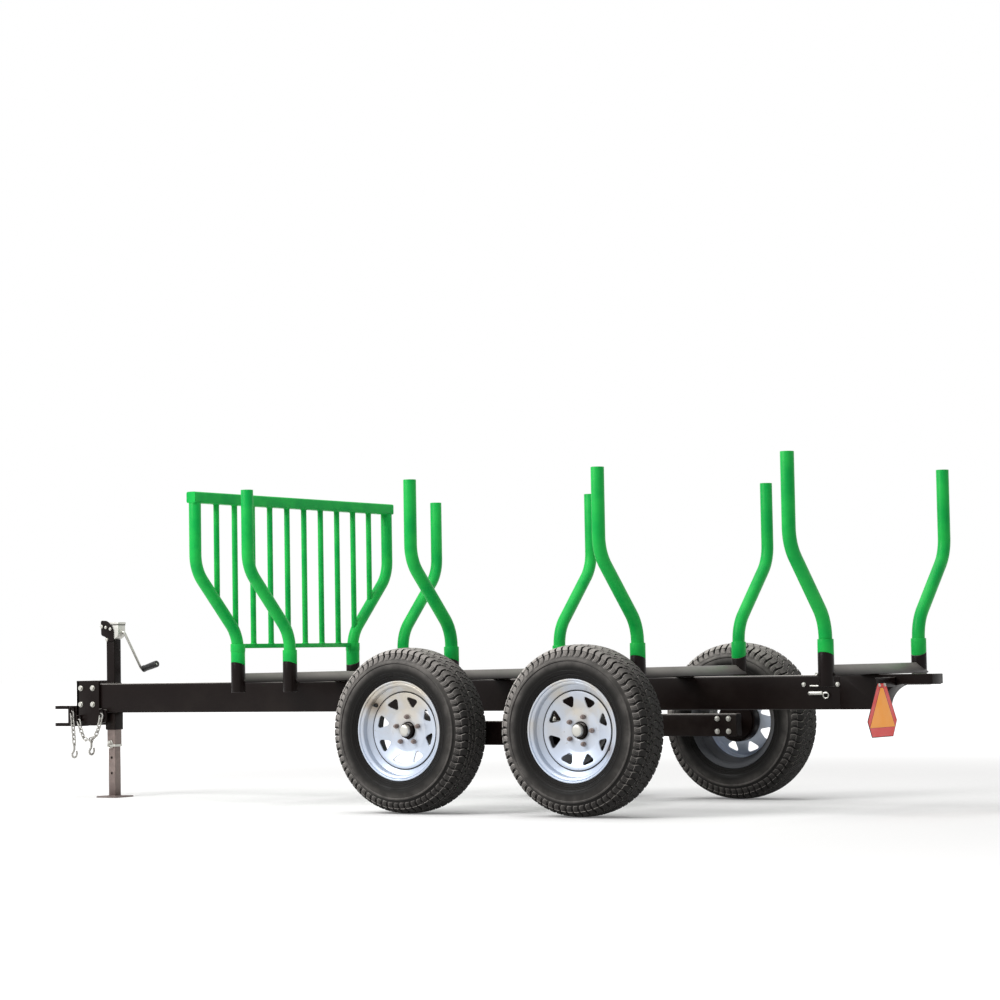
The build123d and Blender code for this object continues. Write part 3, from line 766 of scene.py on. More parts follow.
def carve(form, cutter):
    """Takes the volume of a cutter out of a form."""
    pair = []
    for bm in (form, cutter):
        mesh = bpy.data.meshes.new("carving")
        bm.to_mesh(mesh)
        thing = bpy.data.objects.new("carving", mesh)
        bpy.context.scene.collection.objects.link(thing)
        pair.append(thing)
    tool = pair[0].modifiers.new("carve", "BOOLEAN")
    tool.operation = "DIFFERENCE"
    tool.solver = "EXACT"
    tool.object = pair[1]
    seen = pair[0].evaluated_get(bpy.context.evaluated_depsgraph_get())
    result = bpy.data.meshes.new_from_object(seen)
    form.clear()
    form.from_mesh(result)
    for thing in pair:
        mesh = thing.data
        bpy.data.objects.remove(thing)
        bpy.data.meshes.remove(mesh)
    bpy.data.meshes.remove(result)
    cutter.free()
    return form


def piece(name, bm, finishes, body="chassis", smooth=32.0):
    """Finishes a form, in metres, as the piece that replaces the node of that name."""
    bmesh.ops.scale(bm, vec=(1 / MM, 1 / MM, 1 / MM), verts=bm.verts[:])
    mesh = bpy.data.meshes.new(name + "_finished")
    bm.to_mesh(mesh)
    bm.free()
    for paint in finishes:
        mesh.materials.append(finish(paint))
    mesh.shade_smooth()
    mesh.set_sharp_from_angle(angle=radians(smooth))
    made = bpy.data.objects.new(name + "_finished", mesh)
    bpy.context.scene.collection.objects.link(made)
    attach(made, body)
    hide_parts(name)


def drill(form, radius, length, place, around=24):
    """Takes a round hole out of a form; at its place it starts at the origin and runs up Z."""
    hole = post(radius, length, around, 0.0)
    bmesh.ops.transform(hole, matrix=place, verts=hole.verts[:])
    return carve(form, hole)


def wire_ring(radius, wire, steps):
    """A ring of round wire about the Y axis."""
    return turned([(radius + wire * cos(i * pi / 4), wire * sin(i * pi / 4)) for i in range(8)], steps)


def round_y(degrees):
    """A turn about the Y axis, from +X towards +Z."""
    return Matrix.Rotation(-radians(degrees), 4, "Y")


def all_wheels():
    """Row, side, body and place of each wheel; the outer side of a wheel's form is at +Y."""
    for row, x in WHEEL_X.items():
        for side, mirrored in both_sides():
            place = mirrored @ move(x, WHEEL_Y, WHEEL_Z)
            yield row, side, "wheel_" + row + "_" + side, place


# Operators


class TRAILER_OT_beams(bpy.types.Operator):
    """Make the main beam and the rear beam section"""
    bl_idname = "log_trailer.beams"
    bl_label = "Beams"

    def execute(self, context):
        front = tube_box(SEAM_X, BEAM_FRONT, -BEAM_HALF, BEAM_HALF, BEAM_LOW, BEAM_TOP, 0)
        carve(front, block(JACK_X - 25.7, JACK_X + 25.7, -25.7, 25.7, BEAM_LOW - 9, BEAM_TOP + 9, 0.5))
        for z in (BEAM_LOW - 0.6, BEAM_TOP + 0.6):
            for s in (-1, 1):
                put(front, weld((JACK_X - 25, s * 27.5, z), (JACK_X + 25, s * 27.5, z)))
                if z > 500:
                    put(front, weld((JACK_X + s * 27.5, -25, z), (JACK_X + s * 27.5, 25, z)))
        head = bolt(20.0)
        for x in (-1827.0, -1858.0):
            put(front, head, at(x, 0.0, BEAM_TOP), 1)
        for s in (-1, 1):
            put(front, bolt(13.0), at(-1787.0, s * BEAM_HALF, 512.0, (0, s, 0)), 1)
            put(front, bolt(13.0), at(-1940.0, s * BEAM_HALF, 512.0, (0, s, 0)), 1)
        put(front, bar_along([(-1924, 54, 506), (-1817, 54, 506)], 5, 4.0, 12), paint=1)
        piece("main_beam", front, ["frame_black", "zinc"])

        outline = [(SEAM_X - 0.5, BEAM_LOW), (SEAM_X - 0.5, BEAM_TOP), (REAR_X, BEAM_TOP),
                   (REAR_X, SHELF_Z), (SHELF_X + 100, SHELF_Z), (SHELF_X + 100, BEAM_LOW)]
        rear = plate(outline, "Y", -BEAM_HALF, BEAM_HALF, {2: 3.0, 3: 3.0, 4: 99.9}, 3.5)
        for s in (-1, 1):
            y = s * (BEAM_HALF - 2)
            put(rear, weld((REAR_X + 8, y, SHELF_Z), (SHELF_X, y, SHELF_Z)))
        low, high = SIGN_TOP - 18, SIGN_TOP + 20
        put(rear, block(SIGN_X + 0.3, SIGN_X + 6, BEAM_HALF - 1, SIGN_Y + 45, low, high))
        put(rear, block(SIGN_X + 0.3, SIGN_X + 60, BEAM_HALF - 1, BEAM_HALF + 6, low, high))
        for x in (SIGN_X + 24, SIGN_X + 46):
            put(rear, bolt(11.0), at(x, BEAM_HALF + 6, SIGN_TOP, (0, 1, 0)), 1)
        piece("rear_beam", rear, ["frame_black", "zinc"])
        return {"FINISHED"}


class TRAILER_OT_bunks(bpy.types.Operator):
    """Make the five bunks with their sockets"""
    bl_idname = "log_trailer.bunks"
    bl_label = "Bunks"

    def execute(self, context):
        for name, x in BUNKS.items():
            right = [(x, ANGLE_APEX), (x + 42.43, 553.44), (x + 38.99, BEAM_TOP), (x + 37.38, BEAM_TOP),
                     (x, ANGLE_APEX - 8.49)]
            outline = right + [(2 * x - a, z) for a, z in reversed(right[1:4])]
            bunk = plate(outline, "Y", -SOCKET_Y, SOCKET_Y, {0: 6.0}, 0.8)
            socket = sleeve(SOCKET_R, 27.5, 508.0, CUT_Z, 0.0, CUT_SLOPE)
            put(socket, post(SOCKET_R - 0.5, 5.0), at(0, 0, 508.0))
            for side in (Matrix(), flip()):
                put(bunk, socket, side @ move(x, SOCKET_Y, 0))
                for s in (-1, 1):
                    put(bunk, weld((x + s * 3, 403, 594), (x + s * 27, 418, 570)), side)
                    foot = x + s * 40
                    put(bunk, weld((foot, 2, BEAM_TOP), (foot, BEAM_HALF, BEAM_TOP)), side)
            piece(name, bunk, ["frame_black"])
        return {"FINISHED"}


def stake_form(x, top, hollow=True):
    """A bent stake with the collar that keys into its socket."""
    radius = sizes().stake_radius * MM
    slant = BEND_R * tan(HALF_BEND)
    reach = STAKE_OUT_Y - SOCKET_Y
    z1 = BEND_Z + slant
    points = [(x, SOCKET_Y, 514.0), (x, SOCKET_Y, z1), (x, STAKE_OUT_Y, z1 + reach), (x, STAKE_OUT_Y, top)]
    form = bar_along(points, BEND_R, radius, 32, 9, radius - sizes().stake_wall * MM if hollow else 0.0)
    put(form, sleeve(SOCKET_R, radius - 0.5, CUT_Z + 0.8, COLLAR_TOP, CUT_SLOPE, 0.0, 40, 2.0),
        move(x, SOCKET_Y, 0))
    return form


class TRAILER_OT_stakes(bpy.types.Operator):
    """Make the eight bent stakes"""
    bl_idname = "log_trailer.stakes"
    bl_label = "Stakes"

    def execute(self, context):
        for number, top in STAKE_TOPS.items():
            form = stake_form(BUNKS["bunk_" + number], top)
            for side, place in both_sides():
                piece("stake_" + number + "_" + side, copied(form, place), ["stake_green"])
            form.free()
        return {"FINISHED"}


def post_height(y):
    """Height at which the bent post of the headboard reaches y."""
    slant = BEND_R * tan(HALF_BEND)
    out = BEND_R * (1 - cos(2 * HALF_BEND))
    z2 = BEND_Z + BEND_R * sin(2 * HALF_BEND)
    if y < SOCKET_Y + out:
        return BEND_Z + sqrt(BEND_R ** 2 - (SOCKET_Y + BEND_R - y) ** 2)
    if y <= STAKE_OUT_Y - out:
        return z2 + y - SOCKET_Y - out
    end = BEND_Z + 2 * slant + STAKE_OUT_Y - SOCKET_Y
    return end - sqrt(BEND_R ** 2 - (y - STAKE_OUT_Y + BEND_R) ** 2)


class TRAILER_OT_headboard(bpy.types.Operator):
    """Make the slatted headboard"""
    bl_idname = "log_trailer.headboard"
    bl_label = "Headboard"

    def execute(self, context):
        head = bmesh.new()
        side_post = stake_form(HEAD_X, HEAD_TOP, False)
        rod = sizes().rod_radius * MM
        for place in (Matrix(), flip()):
            put(head, side_post, place)
            foot = place @ move(HEAD_X, SOCKET_Y, 0)
            put(head, sleeve(33.5, 26.0, 690.0, 726.0, edge=2.0), foot)
            for i in range(RODS):
                y = ROD_PITCH * (i + 0.5)
                low = 723.0 if y < LOW_BAR_Y else post_height(y) - 6.0
                put(head, post(rod, HEAD_TOP - low, 20), place @ move(HEAD_X, y, low))
                put(head, ring_weld(rod, 20), place @ at(HEAD_X, y, 1350.0, (0, 0, -1)))
                if y < LOW_BAR_Y:
                    put(head, ring_weld(rod, 20), place @ move(HEAD_X, y, 726.0))
        put(head, tube_box(HEAD_X - 25, HEAD_X + 25, -752, 752, 1350, 1400, 1))
        put(head, block(HEAD_X - 10, HEAD_X + 10, -408, 408, 706, 726, 1.5))
        piece("headboard", head, ["stake_green"])
        return {"FINISHED"}


class TRAILER_OT_bogies(bpy.types.Operator):
    """Make the cross axle, the walking beams and the spindles"""
    bl_idname = "log_trailer.bogies"
    bl_label = "Bogies"

    def execute(self, context):
        axle = tube_box(TANDEM_X - 38, TANDEM_X + 38, -498, 498, AXLE_Z - 38, AXLE_Z + 38, 1)
        web = [(TANDEM_X - 110, BEAM_LOW), (TANDEM_X + 110, BEAM_LOW), (TANDEM_X + 60, AXLE_Z + 10),
               (TANDEM_X - 60, AXLE_Z + 10)]
        for place in (Matrix(), flip()):
            put(axle, plate(web, "Y", BEAM_HALF - 8, BEAM_HALF, {2: 12, 3: 12}), place)
            put(axle, post(42.0, 8.0, 40), place @ at(TANDEM_X, 497.7, AXLE_Z, (0, 1, 0)))
            put(axle, post(25.0, 80.0, 32), place @ at(TANDEM_X, 490, AXLE_Z, (0, 1, 0)))
            put(axle, post(38.0, 6.5, 36), place @ at(TANDEM_X, 556.5, AXLE_Z, (0, 1, 0)), 1)
            for s in (-1, 1):
                bead = weld((TANDEM_X + s * 40, 47, AXLE_Z + 30), (TANDEM_X + s * 58, 47, AXLE_Z + 12))
                put(axle, bead, place)
            put(axle, weld((TANDEM_X - 105, 49, BEAM_LOW - 8), (TANDEM_X + 105, 49, BEAM_LOW - 8)), place)
        put(axle, block(TANDEM_X - 110, TANDEM_X + 110, -BEAM_HALF, BEAM_HALF, BEAM_LOW - 8, BEAM_LOW))
        piece("cross_axle", axle, ["frame_black", "zinc"])

        beam = tube_box(-1172, -192, 506, 556, 281, 381, 0)
        put(beam, sleeve(36.0, 25.3, -25.5, 25.5, around=36), at(TANDEM_X, BOGIE_Y, AXLE_Z, (0, 1, 0)))
        for x in WHEEL_X.values():
            for dx, dz in ((-28, 28), (28, 28), (-28, -28), (28, -28)):
                put(beam, bolt(17.0), at(x + dx, 506, AXLE_Z + dz, (0, -1, 0)), 1)
        for x in (-1172, -192):
            s = 1 if x > -600 else -1
            for z in (284, 378):
                put(beam, weld((x - s * 1.5, 512, z), (x - s * 1.5, 550, z)))
        for side, place in both_sides():
            piece("bogie_beam_" + side, copied(beam, place), ["frame_black", "zinc"])
        beam.free()

        shaft = turned([(0, 0), (28, 0), (28, 67), (83.5, 68), (84, 69), (84, 72), (83, 73), (28, 73),
                        (17.5, 74), (17.5, 127), (0, 128)], 40, False)
        for side, mirrored in both_sides():
            pair = bmesh.new()
            for x in WHEEL_X.values():
                put(pair, shaft, mirrored @ move(x, 556, WHEEL_Z))
                put(pair, block(x - 42, x + 42, 556, 564, WHEEL_Z - 42, WHEEL_Z + 30), mirrored)
            piece("spindles_" + side, pair, ["frame_black"])
        shaft.free()
        return {"FINISHED"}


# Outer line of the tread: distance from the middle, radius
TREAD_LINE = [(0, TYRE_R), (30, 345.2), (58, 342.0), (70, 338.6), (80, 333.0), (87, 325.0), (91, 316.5),
              (95.5, 305.0), (99.5, 291.0), (102, 280.0)]


def tread_spot(t, u, depth):
    """Point t mm over the tread from its middle, u mm round the tyre and depth under its outer line."""
    left = abs(t)
    for (y0, r0), (y1, r1) in zip(TREAD_LINE, TREAD_LINE[1:]):
        run = sqrt((y1 - y0) ** 2 + (r1 - r0) ** 2)
        if left <= run or (y1, r1) == TREAD_LINE[-1]:
            break
        left -= run
    share = left / run
    out_y = (r0 - r1) / run
    out_r = (y1 - y0) / run
    y = y0 + (y1 - y0) * share - out_y * depth
    r = r0 + (r1 - r0) * share - out_r * depth
    turn = u / TYRE_R
    return Vector((r * sin(turn), y if t >= 0 else -y, r * cos(turn)))


def tread_block(t0, t1, width, curve, cells, depth, sink=0.0, slope=0.0, edge=0.9):
    """A tread block from t0 to t1, whose middle line follows curve(t) round the tyre."""
    bm = bmesh.new()
    bmesh.ops.create_grid(bm, x_segments=cells, y_segments=1, size=0.5)
    grown = bmesh.ops.extrude_face_region(bm, geom=bm.faces[:])["geom"]
    upper = set(ends(grown, bmesh.types.BMVert))
    flat = {v: (v.co.x + 0.5, v.co.y) for v in bm.verts}
    for vert, (a, b) in flat.items():
        top = vert in upper
        t = t0 + (t1 - t0) * a
        spread = 1.0 if top else 1.12
        t += 0.0 if top else (a - 0.5) * 1.2
        share = a if t0 >= 0 else 1.0 - a
        deep = sink + slope * share if top else depth + 1.5
        vert.co = tread_spot(t, curve(t) + b * width * spread, deep)
    under = [f for f in bm.faces if all(v not in upper for v in f.verts)]
    bmesh.ops.delete(bm, geom=under, context="FACES_ONLY")
    outward(bm)
    crown = [f for f in bm.faces if all(v in upper for v in f.verts)]
    middle = sum((f.calc_center_median() for f in crown), Vector()) / len(crown)
    if crown[0].normal.dot(Vector((middle.x, middle.y * 0.6, middle.z))) < 0.0:
        bmesh.ops.reverse_faces(bm, faces=bm.faces[:])
    if edge:
        rim_edges = [e for e in bm.edges if sum(f in crown for f in e.link_faces) == 1]
        soften(bm, edge, 1, edges=rim_edges)
    return bm


def shoulder_line(t):
    """The S line of a shoulder lug, from the crown's edge down the sidewall."""
    return 4.4 * sin((t - 58.5) / 62.5 * 2 * pi) + 0.05 * (t - 58.5)


def tyre_form():
    """A turf tyre about its own centre."""
    side = [(338.5, 0), (337.6, 30), (334.0, 58), (327.8, 72), (314.8, 83.5), (303.0, 90.0),
            (293.0, 94.6), (289.6, 98.6), (286.6, 102.6), (281.6, 103.2), (278.6, 100.6), (268, 102.6),
            (258, 103.4), (249, 102.0), (243.0, 99.6), (241.6, 100.4), (239.6, 99.2), (234, 95.6),
            (232.0, 95.8), (230, 93.4), (225.5, 89.0), (223.5, 89.6), (220.5, 87.6), (219.0, 84.8),
            (216.5, 84.6), (213.6, 81.6), (210.6, 80.2), (209.2, 77.4), (204.8, 76.9), (191.6, 69.9),
            (190.4, 67.0), (190.4, 52.0), (222, 68), (262, 88), (308, 75), (326, 50)]
    section = side + [(r, -y) for r, y in reversed(side) if y > 0]
    tyre = turned(section, 132)
    pitches = sizes().tread_pitches
    pitch = 2 * pi * TYRE_R / pitches
    depth = sizes().tread_depth * MM
    one = bmesh.new()
    groove = 5.2
    put(one, tread_block(-15, 15, pitch - groove, lambda t: 7.0 * (1 - (t / 15) ** 2), 4, depth))
    for s in (-1, 1):
        rows = [
            (18.5, 35.0, 0.5, lambda t: 0.55 * (t - 18.5), 3, pitch - groove, 0.0, 0.0, 0.9),
            (38.5, 55.0, 0.15, lambda t: 0.55 * (t - 38.5) + 3, 3, pitch - groove, 0.0, 0.0, 0.9),
            (58.5, 94.0, 0.62, shoulder_line, 6, pitch - 8.6, 0.0, 1.0, 1.1),
            (94.0, 121.0, 0.62, shoulder_line, 4, pitch - 10.0, 3.0, 1.6, 0.7),
        ]
        for offset in (0.42, 0.62, 0.82):
            rows.append((97.0, 119.0, offset, shoulder_line, 3, 3.4, 1.8, 1.6, 0.0))
        # Each row: start and end over the tread, offset, line, cells, width, then sink, slope and edge
        for t0, t1, offset, line, cells, width, sink, slope, edge in rows:
            shift = (offset if s > 0 else offset + 0.5) * pitch

            def curve(t, line=line, shift=shift, s=s):
                return s * line(abs(t)) + shift

            low, high = (t0, t1) if s > 0 else (-t1, -t0)
            put(one, tread_block(low, high, width, curve, cells, depth, sink, slope, edge))
    bmesh.ops.spin(one, geom=one.verts[:] + one.edges[:] + one.faces[:], cent=(0, 0, 0), axis=(0, 1, 0),
                   dvec=(0, 0, 0), angle=2 * pi * (pitches - 1) / pitches, steps=pitches - 1,
                   use_duplicate=True)
    put(tyre, one, paint=1)
    one.free()
    return tyre


class TRAILER_OT_tyres(bpy.types.Operator):
    """Make the four turf tyres with their tread"""
    bl_idname = "log_trailer.tyres"
    bl_label = "Tyres"

    def execute(self, context):
        form = tyre_form()
        for row, side, body, place in all_wheels():
            piece("tyre_" + row + "_" + side, copied(form, place), ["rubber", "tread"], body, 40.0)
        form.free()
        return {"FINISHED"}


def rim_form():
    """A steel wheel with eight windows, about its own centre."""
    barrel = [
        (208.5, 80.6), (207.9, 81.6), (206.6, 82), (203.6, 82), (202.0, 81.2), (200.8, 77.8),
        (199.4, 75.8), (197.6, 77.2), (196.2, 77.8), (192.0, 75.8), (189.0, 74), (187.0, 72), (186, 69),
        (186, 50), (185.0, 47.2), (166.2, 36.9), (164.4, 35.4), (164, 33), (164, -30), (186, -50),
        (186, -70), (189, -74), (203, -82), (208.5, -82), (208.5, -77.5), (204.5, -77.5), (191, -70.5),
        (190, -68), (190, -48.5), (168, -28.5), (168, 33.6), (190, 45.6), (190, 68), (191, 70.5),
        (204.5, 77.5), (208.5, 77.5)]
    disc = [
        (165.4, 32.0), (164.0, 34.6), (162.2, 33.6), (160.4, 34.6), (158.6, 37.4), (156, 38), (152, 38),
        (140, 33.6), (125, 27.9), (110, 22.1), (98, 17.4), (92, 15), (84, 13), (70, 13.4), (48, 13.2),
        (40, 12.6), (36.5, 11.2), (36, 8), (86, 8), (95, 10.5), (112, 17.1), (140, 28), (153, 33),
        (165, 28)]
    wheel = turned(disc, 96)
    # The faces of the groove near the disc's edge take the black finish: painted shade in the crease.
    for face in wheel.faces:
        spot = face.calc_center_median()
        if spot.y > 33.0 and 159.0 < Vector((spot.x, 0, spot.z)).length < 164.2:
            face.material_index = 1
    window = plate([(92, 0), (140, 36), (140, -36)], "Y", -20, 80, {0: 14.0, 1: 21.0, 2: 21.0}, 0.0)
    windows = bmesh.new()
    for i in range(WINDOWS):
        put(windows, window, round_y(WINDOW_TURN + 360.0 / WINDOWS * i))
    carve(wheel, windows)
    window.free()
    put(wheel, turned(barrel, 128), paint=0)
    return wheel


class TRAILER_OT_rims(bpy.types.Operator):
    """Make the four silver wheels"""
    bl_idname = "log_trailer.rims"
    bl_label = "Rims"

    def execute(self, context):
        form = rim_form()
        stem = [(0, 64), (3.6, 64), (4.4, 63), (4.4, 54), (6.4, 52), (8.6, 46), (9.4, 40), (0, 38)]
        valve = turned(stem, 20, False)
        for row, side, body, place in all_wheels():
            rim = copied(form, place @ round_y(WHEEL_TURN[row]))
            put(rim, valve, place @ round_y(VALVE_AT[row]) @ move(VALVE_R, 0, 0), 1)
            piece("rim_" + row + "_" + side, rim, ["wheel_silver", "grip_black_and_groove_shade"], body)
        form.free()
        valve.free()
        return {"FINISHED"}


class TRAILER_OT_hubs(bpy.types.Operator):
    """Make the four hubs with drum, studs, nuts and dust cap"""
    bl_idname = "log_trailer.hubs"
    bl_label = "Hubs"

    def execute(self, context):
        drum = turned([(26, 30), (31, 28), (31, 7.7), (88, 7.7), (91.2, 6.2), (92, 3.5), (92, -45),
                       (91, -47), (87.5, -47), (87, -46), (87, -4), (40, -4), (38, -38), (17.6, -38),
                       (17.6, 14), (26, 14)], 56)
        cap = turned([(0, 46), (14, 45.8), (19, 45), (22.5, 43), (24.6, 39), (25.4, 33), (25.6, 29),
                      (27.2, 28.6), (27.2, 26.5), (0, 26)], 40, False)
        nut = bmesh.new()
        put(nut, post(6.0, 32.0, 14, 1.0), move(0, 0, 2.0))
        hexagon = bmesh.new()
        bmesh.ops.create_cone(hexagon, cap_ends=True, segments=6, radius1=10, radius2=10, depth=12,
                              matrix=move(0, 0, 21.3))
        soften(hexagon, 1.2, 2, 60.0, [e for e in hexagon.edges if all(v.co.z > 27 for v in e.verts)])
        put(nut, hexagon)
        put(nut, post(9.5, 3.0, 24, 1.0), move(0, 0, 14.0))
        hexagon.free()
        for row, side, body, place in all_wheels():
            place = place @ round_y(WHEEL_TURN[row])
            hub = copied(drum, place, 0)
            put(hub, cap, place, 1)
            for i in range(STUDS):
                a = radians(360.0 / STUDS * i + 90.0)
                put(hub, nut, place @ at(STUD_R * cos(a), 0.0, STUD_R * sin(a), (0, 1, 0)), 2)
            paints = ["frame_black", "zinc", "worn_steel"]
            piece("hub_" + row + "_" + side, hub, paints, body)
        for bm in (drum, cap, nut):
            bm.free()
        return {"FINISHED"}


class TRAILER_OT_hitch(bpy.types.Operator):
    """Make the hitch bracket and its clevis"""
    bl_idname = "log_trailer.hitch"
    bl_label = "Hitch"

    def execute(self, context):
        cheek = [(HITCH_X, 566), (2021, 566), (2021, 430), (1976, 424), (1976, 368), (2045, 348),
                 (HITCH_X, 348)]
        bracket = bmesh.new()
        side_plate = plate(cheek, "Y", 50.3, CHEEK_Y, {1: 6, 3: 5, 4: 6})
        for place in (Matrix(), flip()):
            put(bracket, side_plate, place)
            for x in (2061.0, 2138.0):
                for z in (451.0, 530.0):
                    put(bracket, bolt(19.0), place @ at(x, CHEEK_Y, z, (0, 1, 0)), 1)
        put(bracket, block(BEAM_FRONT + 0.5, HITCH_X, -CHEEK_Y, CHEEK_Y, 348, 566))
        for x, z in ((1993.5, 413.2), (2137.0, 384.2)):
            lug = block(x - 2.5, x + 2.5, 61, 94, z - 15, z + 15, 0.8)
            put(bracket, drill(lug, 11.0, 30.0, at(x - 15, SIDE_CHAIN_Y, z, (1, 0, 0))))
        piece("hitch_bracket", bracket, ["frame_black", "zinc"])

        clevis = block(HITCH_X + 0.3, 2257, -25, 25, 344, 444, 2.0)
        for z0, z1 in ((344.0, 360.0), (428.0, 444.0)):
            outline = [(2250, -25), (2355, -25), (2355, 25), (2250, 25)]
            ear = plate(outline, "Z", z0, z1, {1: 24.9, 2: 24.9})
            put(clevis, drill(ear, 13.5, 40.0, move(2320, 0, z0 - 10), 32))
        lug = block(2212.5, 2217.5, 24, 57, 409, 439, 0.8)
        put(clevis, drill(lug, 11.0, 30.0, at(2200, FRONT_CHAIN_Y, 424.0, (1, 0, 0))))
        x = HITCH_X + 2
        for s in (-1, 1):
            put(clevis, weld((x, s * 26, 350), (x, s * 26, 440)))
        put(clevis, weld((x, -24, 445), (x, 24, 445)))
        piece("hitch_clevis", clevis, ["frame_black"])
        return {"FINISHED"}


def link_form():
    """A round chain link about its centre, long way along X, flat in XY."""
    wire = sizes().link_wire * MM / 2
    side = 12.5 - wire
    straight = 14.9 - side
    bm = bmesh.new()
    bmesh.ops.create_circle(bm, segments=10, radius=wire,
                            matrix=move(-straight, side, 0) @ facing((1, 0, 0)))
    ring = bm.edges[:]
    for s in (1, -1):
        ring = advance(bm, ring, (s * 2 * straight, 0, 0))
        made = bmesh.ops.spin(bm, geom=ring_verts(ring) + ring, cent=(s * straight, 0, 0), axis=(0, 0, -1),
                              dvec=(0, 0, 0), angle=pi, steps=8, use_merge=False, use_duplicate=False)
        ring = ends(made["geom_last"], bmesh.types.BMEdge)
    bmesh.ops.remove_doubles(bm, verts=bm.verts[:], dist=0.01)
    outward(bm)
    return bm


def chain(target, line, first_turn):
    """Links on the runs of a line of points, each a quarter turn from the last."""
    form = link_form()
    turn = first_turn
    for a, b in zip(line, line[1:]):
        way = Vector(b) - Vector(a)
        middle = (Vector(a) + Vector(b)) / 2
        lie = way.to_track_quat("X", "Z").to_matrix().to_4x4()
        put(target, form, Matrix.Translation(middle) @ lie @ Matrix.Rotation(radians(turn), 4, "X"))
        turn = 90 - turn
    form.free()


def hanging(p, q, sag, y, pitch):
    """Points a pitch apart along a hanging line from p to q, in x and z."""
    line = [(p[0], y, p[1])]
    t = 0.0
    while True:
        x, _, z = line[-1]
        here = (x, z)
        while t < 1.0 and sqrt((here[0] - x) ** 2 + (here[1] - z) ** 2) < pitch:
            t += 0.0005
            here = (p[0] + (q[0] - p[0]) * t, p[1] + (q[1] - p[1]) * t - sag * (1 - abs(2 * t - 1) ** 3))
        if t >= 1.0:
            rest = sqrt((q[0] - x) ** 2 + (q[1] - z) ** 2)
            return line + [(q[0], y, q[1])] if rest > 0.9 * pitch else line
        line.append((here[0], y, here[1]))


def hook_form():
    """A forged hook that hangs from its eye at the origin."""
    outline = [(-9, 5), (-4, 10), (4, 10), (10, 6), (28, 7), (42, 20), (58, 20), (68, 10), (70, -4),
               (62, -18), (46, -24), (30, -20), (34, -12), (46, -14), (56, -10), (60, -2), (56, 8),
               (48, 10), (38, 0), (26, -6), (10, -6), (4, -10), (-4, -10), (-9, -5)]
    hook = plate(outline, "Z", -3.4, 3.4, None, 1.6)
    drill(hook, 4.4, 20.0, move(0, 0, -10), 16)
    about_z, about_y, about_x = (Matrix.Rotation(pi / 2, 4, axis) for axis in "ZYX")
    hang = about_z @ about_y @ about_x
    bmesh.ops.transform(hook, matrix=hang, verts=hook.verts[:])
    return hook


class TRAILER_OT_chains(bpy.types.Operator):
    """Make the two safety chains with their hooks"""
    bl_idname = "log_trailer.chains"
    bl_label = "Chains"

    def execute(self, context):
        hook = hook_form()
        side = bmesh.new()
        line = hanging((1992.0, 403.0), (2139.0, 374.0), 108.0, SIDE_CHAIN_Y, 22.0)
        chain(side, line, 90)
        low = min(range(0, len(line) - 1, 2), key=lambda i: line[i][2] + line[i + 1][2])
        x = (line[low][0] + line[low + 1][0]) / 2
        z = (line[low][2] + line[low + 1][2]) / 2
        put(side, hook, move(x, SIDE_CHAIN_Y, z - 10.0))
        piece("safety_chain_side", side, ["chain_zinc"])
        front = bmesh.new()
        line = [(2216.0 - 2.0 * i, FRONT_CHAIN_Y, 413.5 - 21.89 * i) for i in range(8)]
        chain(front, line, 90)
        x, y, z = line[-1]
        put(front, hook, move(x, y, z - 3.9))
        hook.free()
        piece("safety_chain_front", front, ["chain_zinc"])
        return {"FINISHED"}


def square_bar(half, low, high, corner, edge=None):
    """A square bar or plate about the jack's line."""
    x0, x1 = JACK_X - half, JACK_X + half
    outline = [(x0, -half), (x1, -half), (x1, half), (x0, half)]
    return plate(outline, "Z", low, high, dict.fromkeys(range(4), corner), edge)


def square_tube(half, inner, low, high, corner):
    """A square tube about the jack's line."""
    core = square_bar(inner, low - 9, high + 9, max(1.0, corner - half + inner), 0.0)
    return carve(square_bar(half, low, high, corner, 0.5), core)


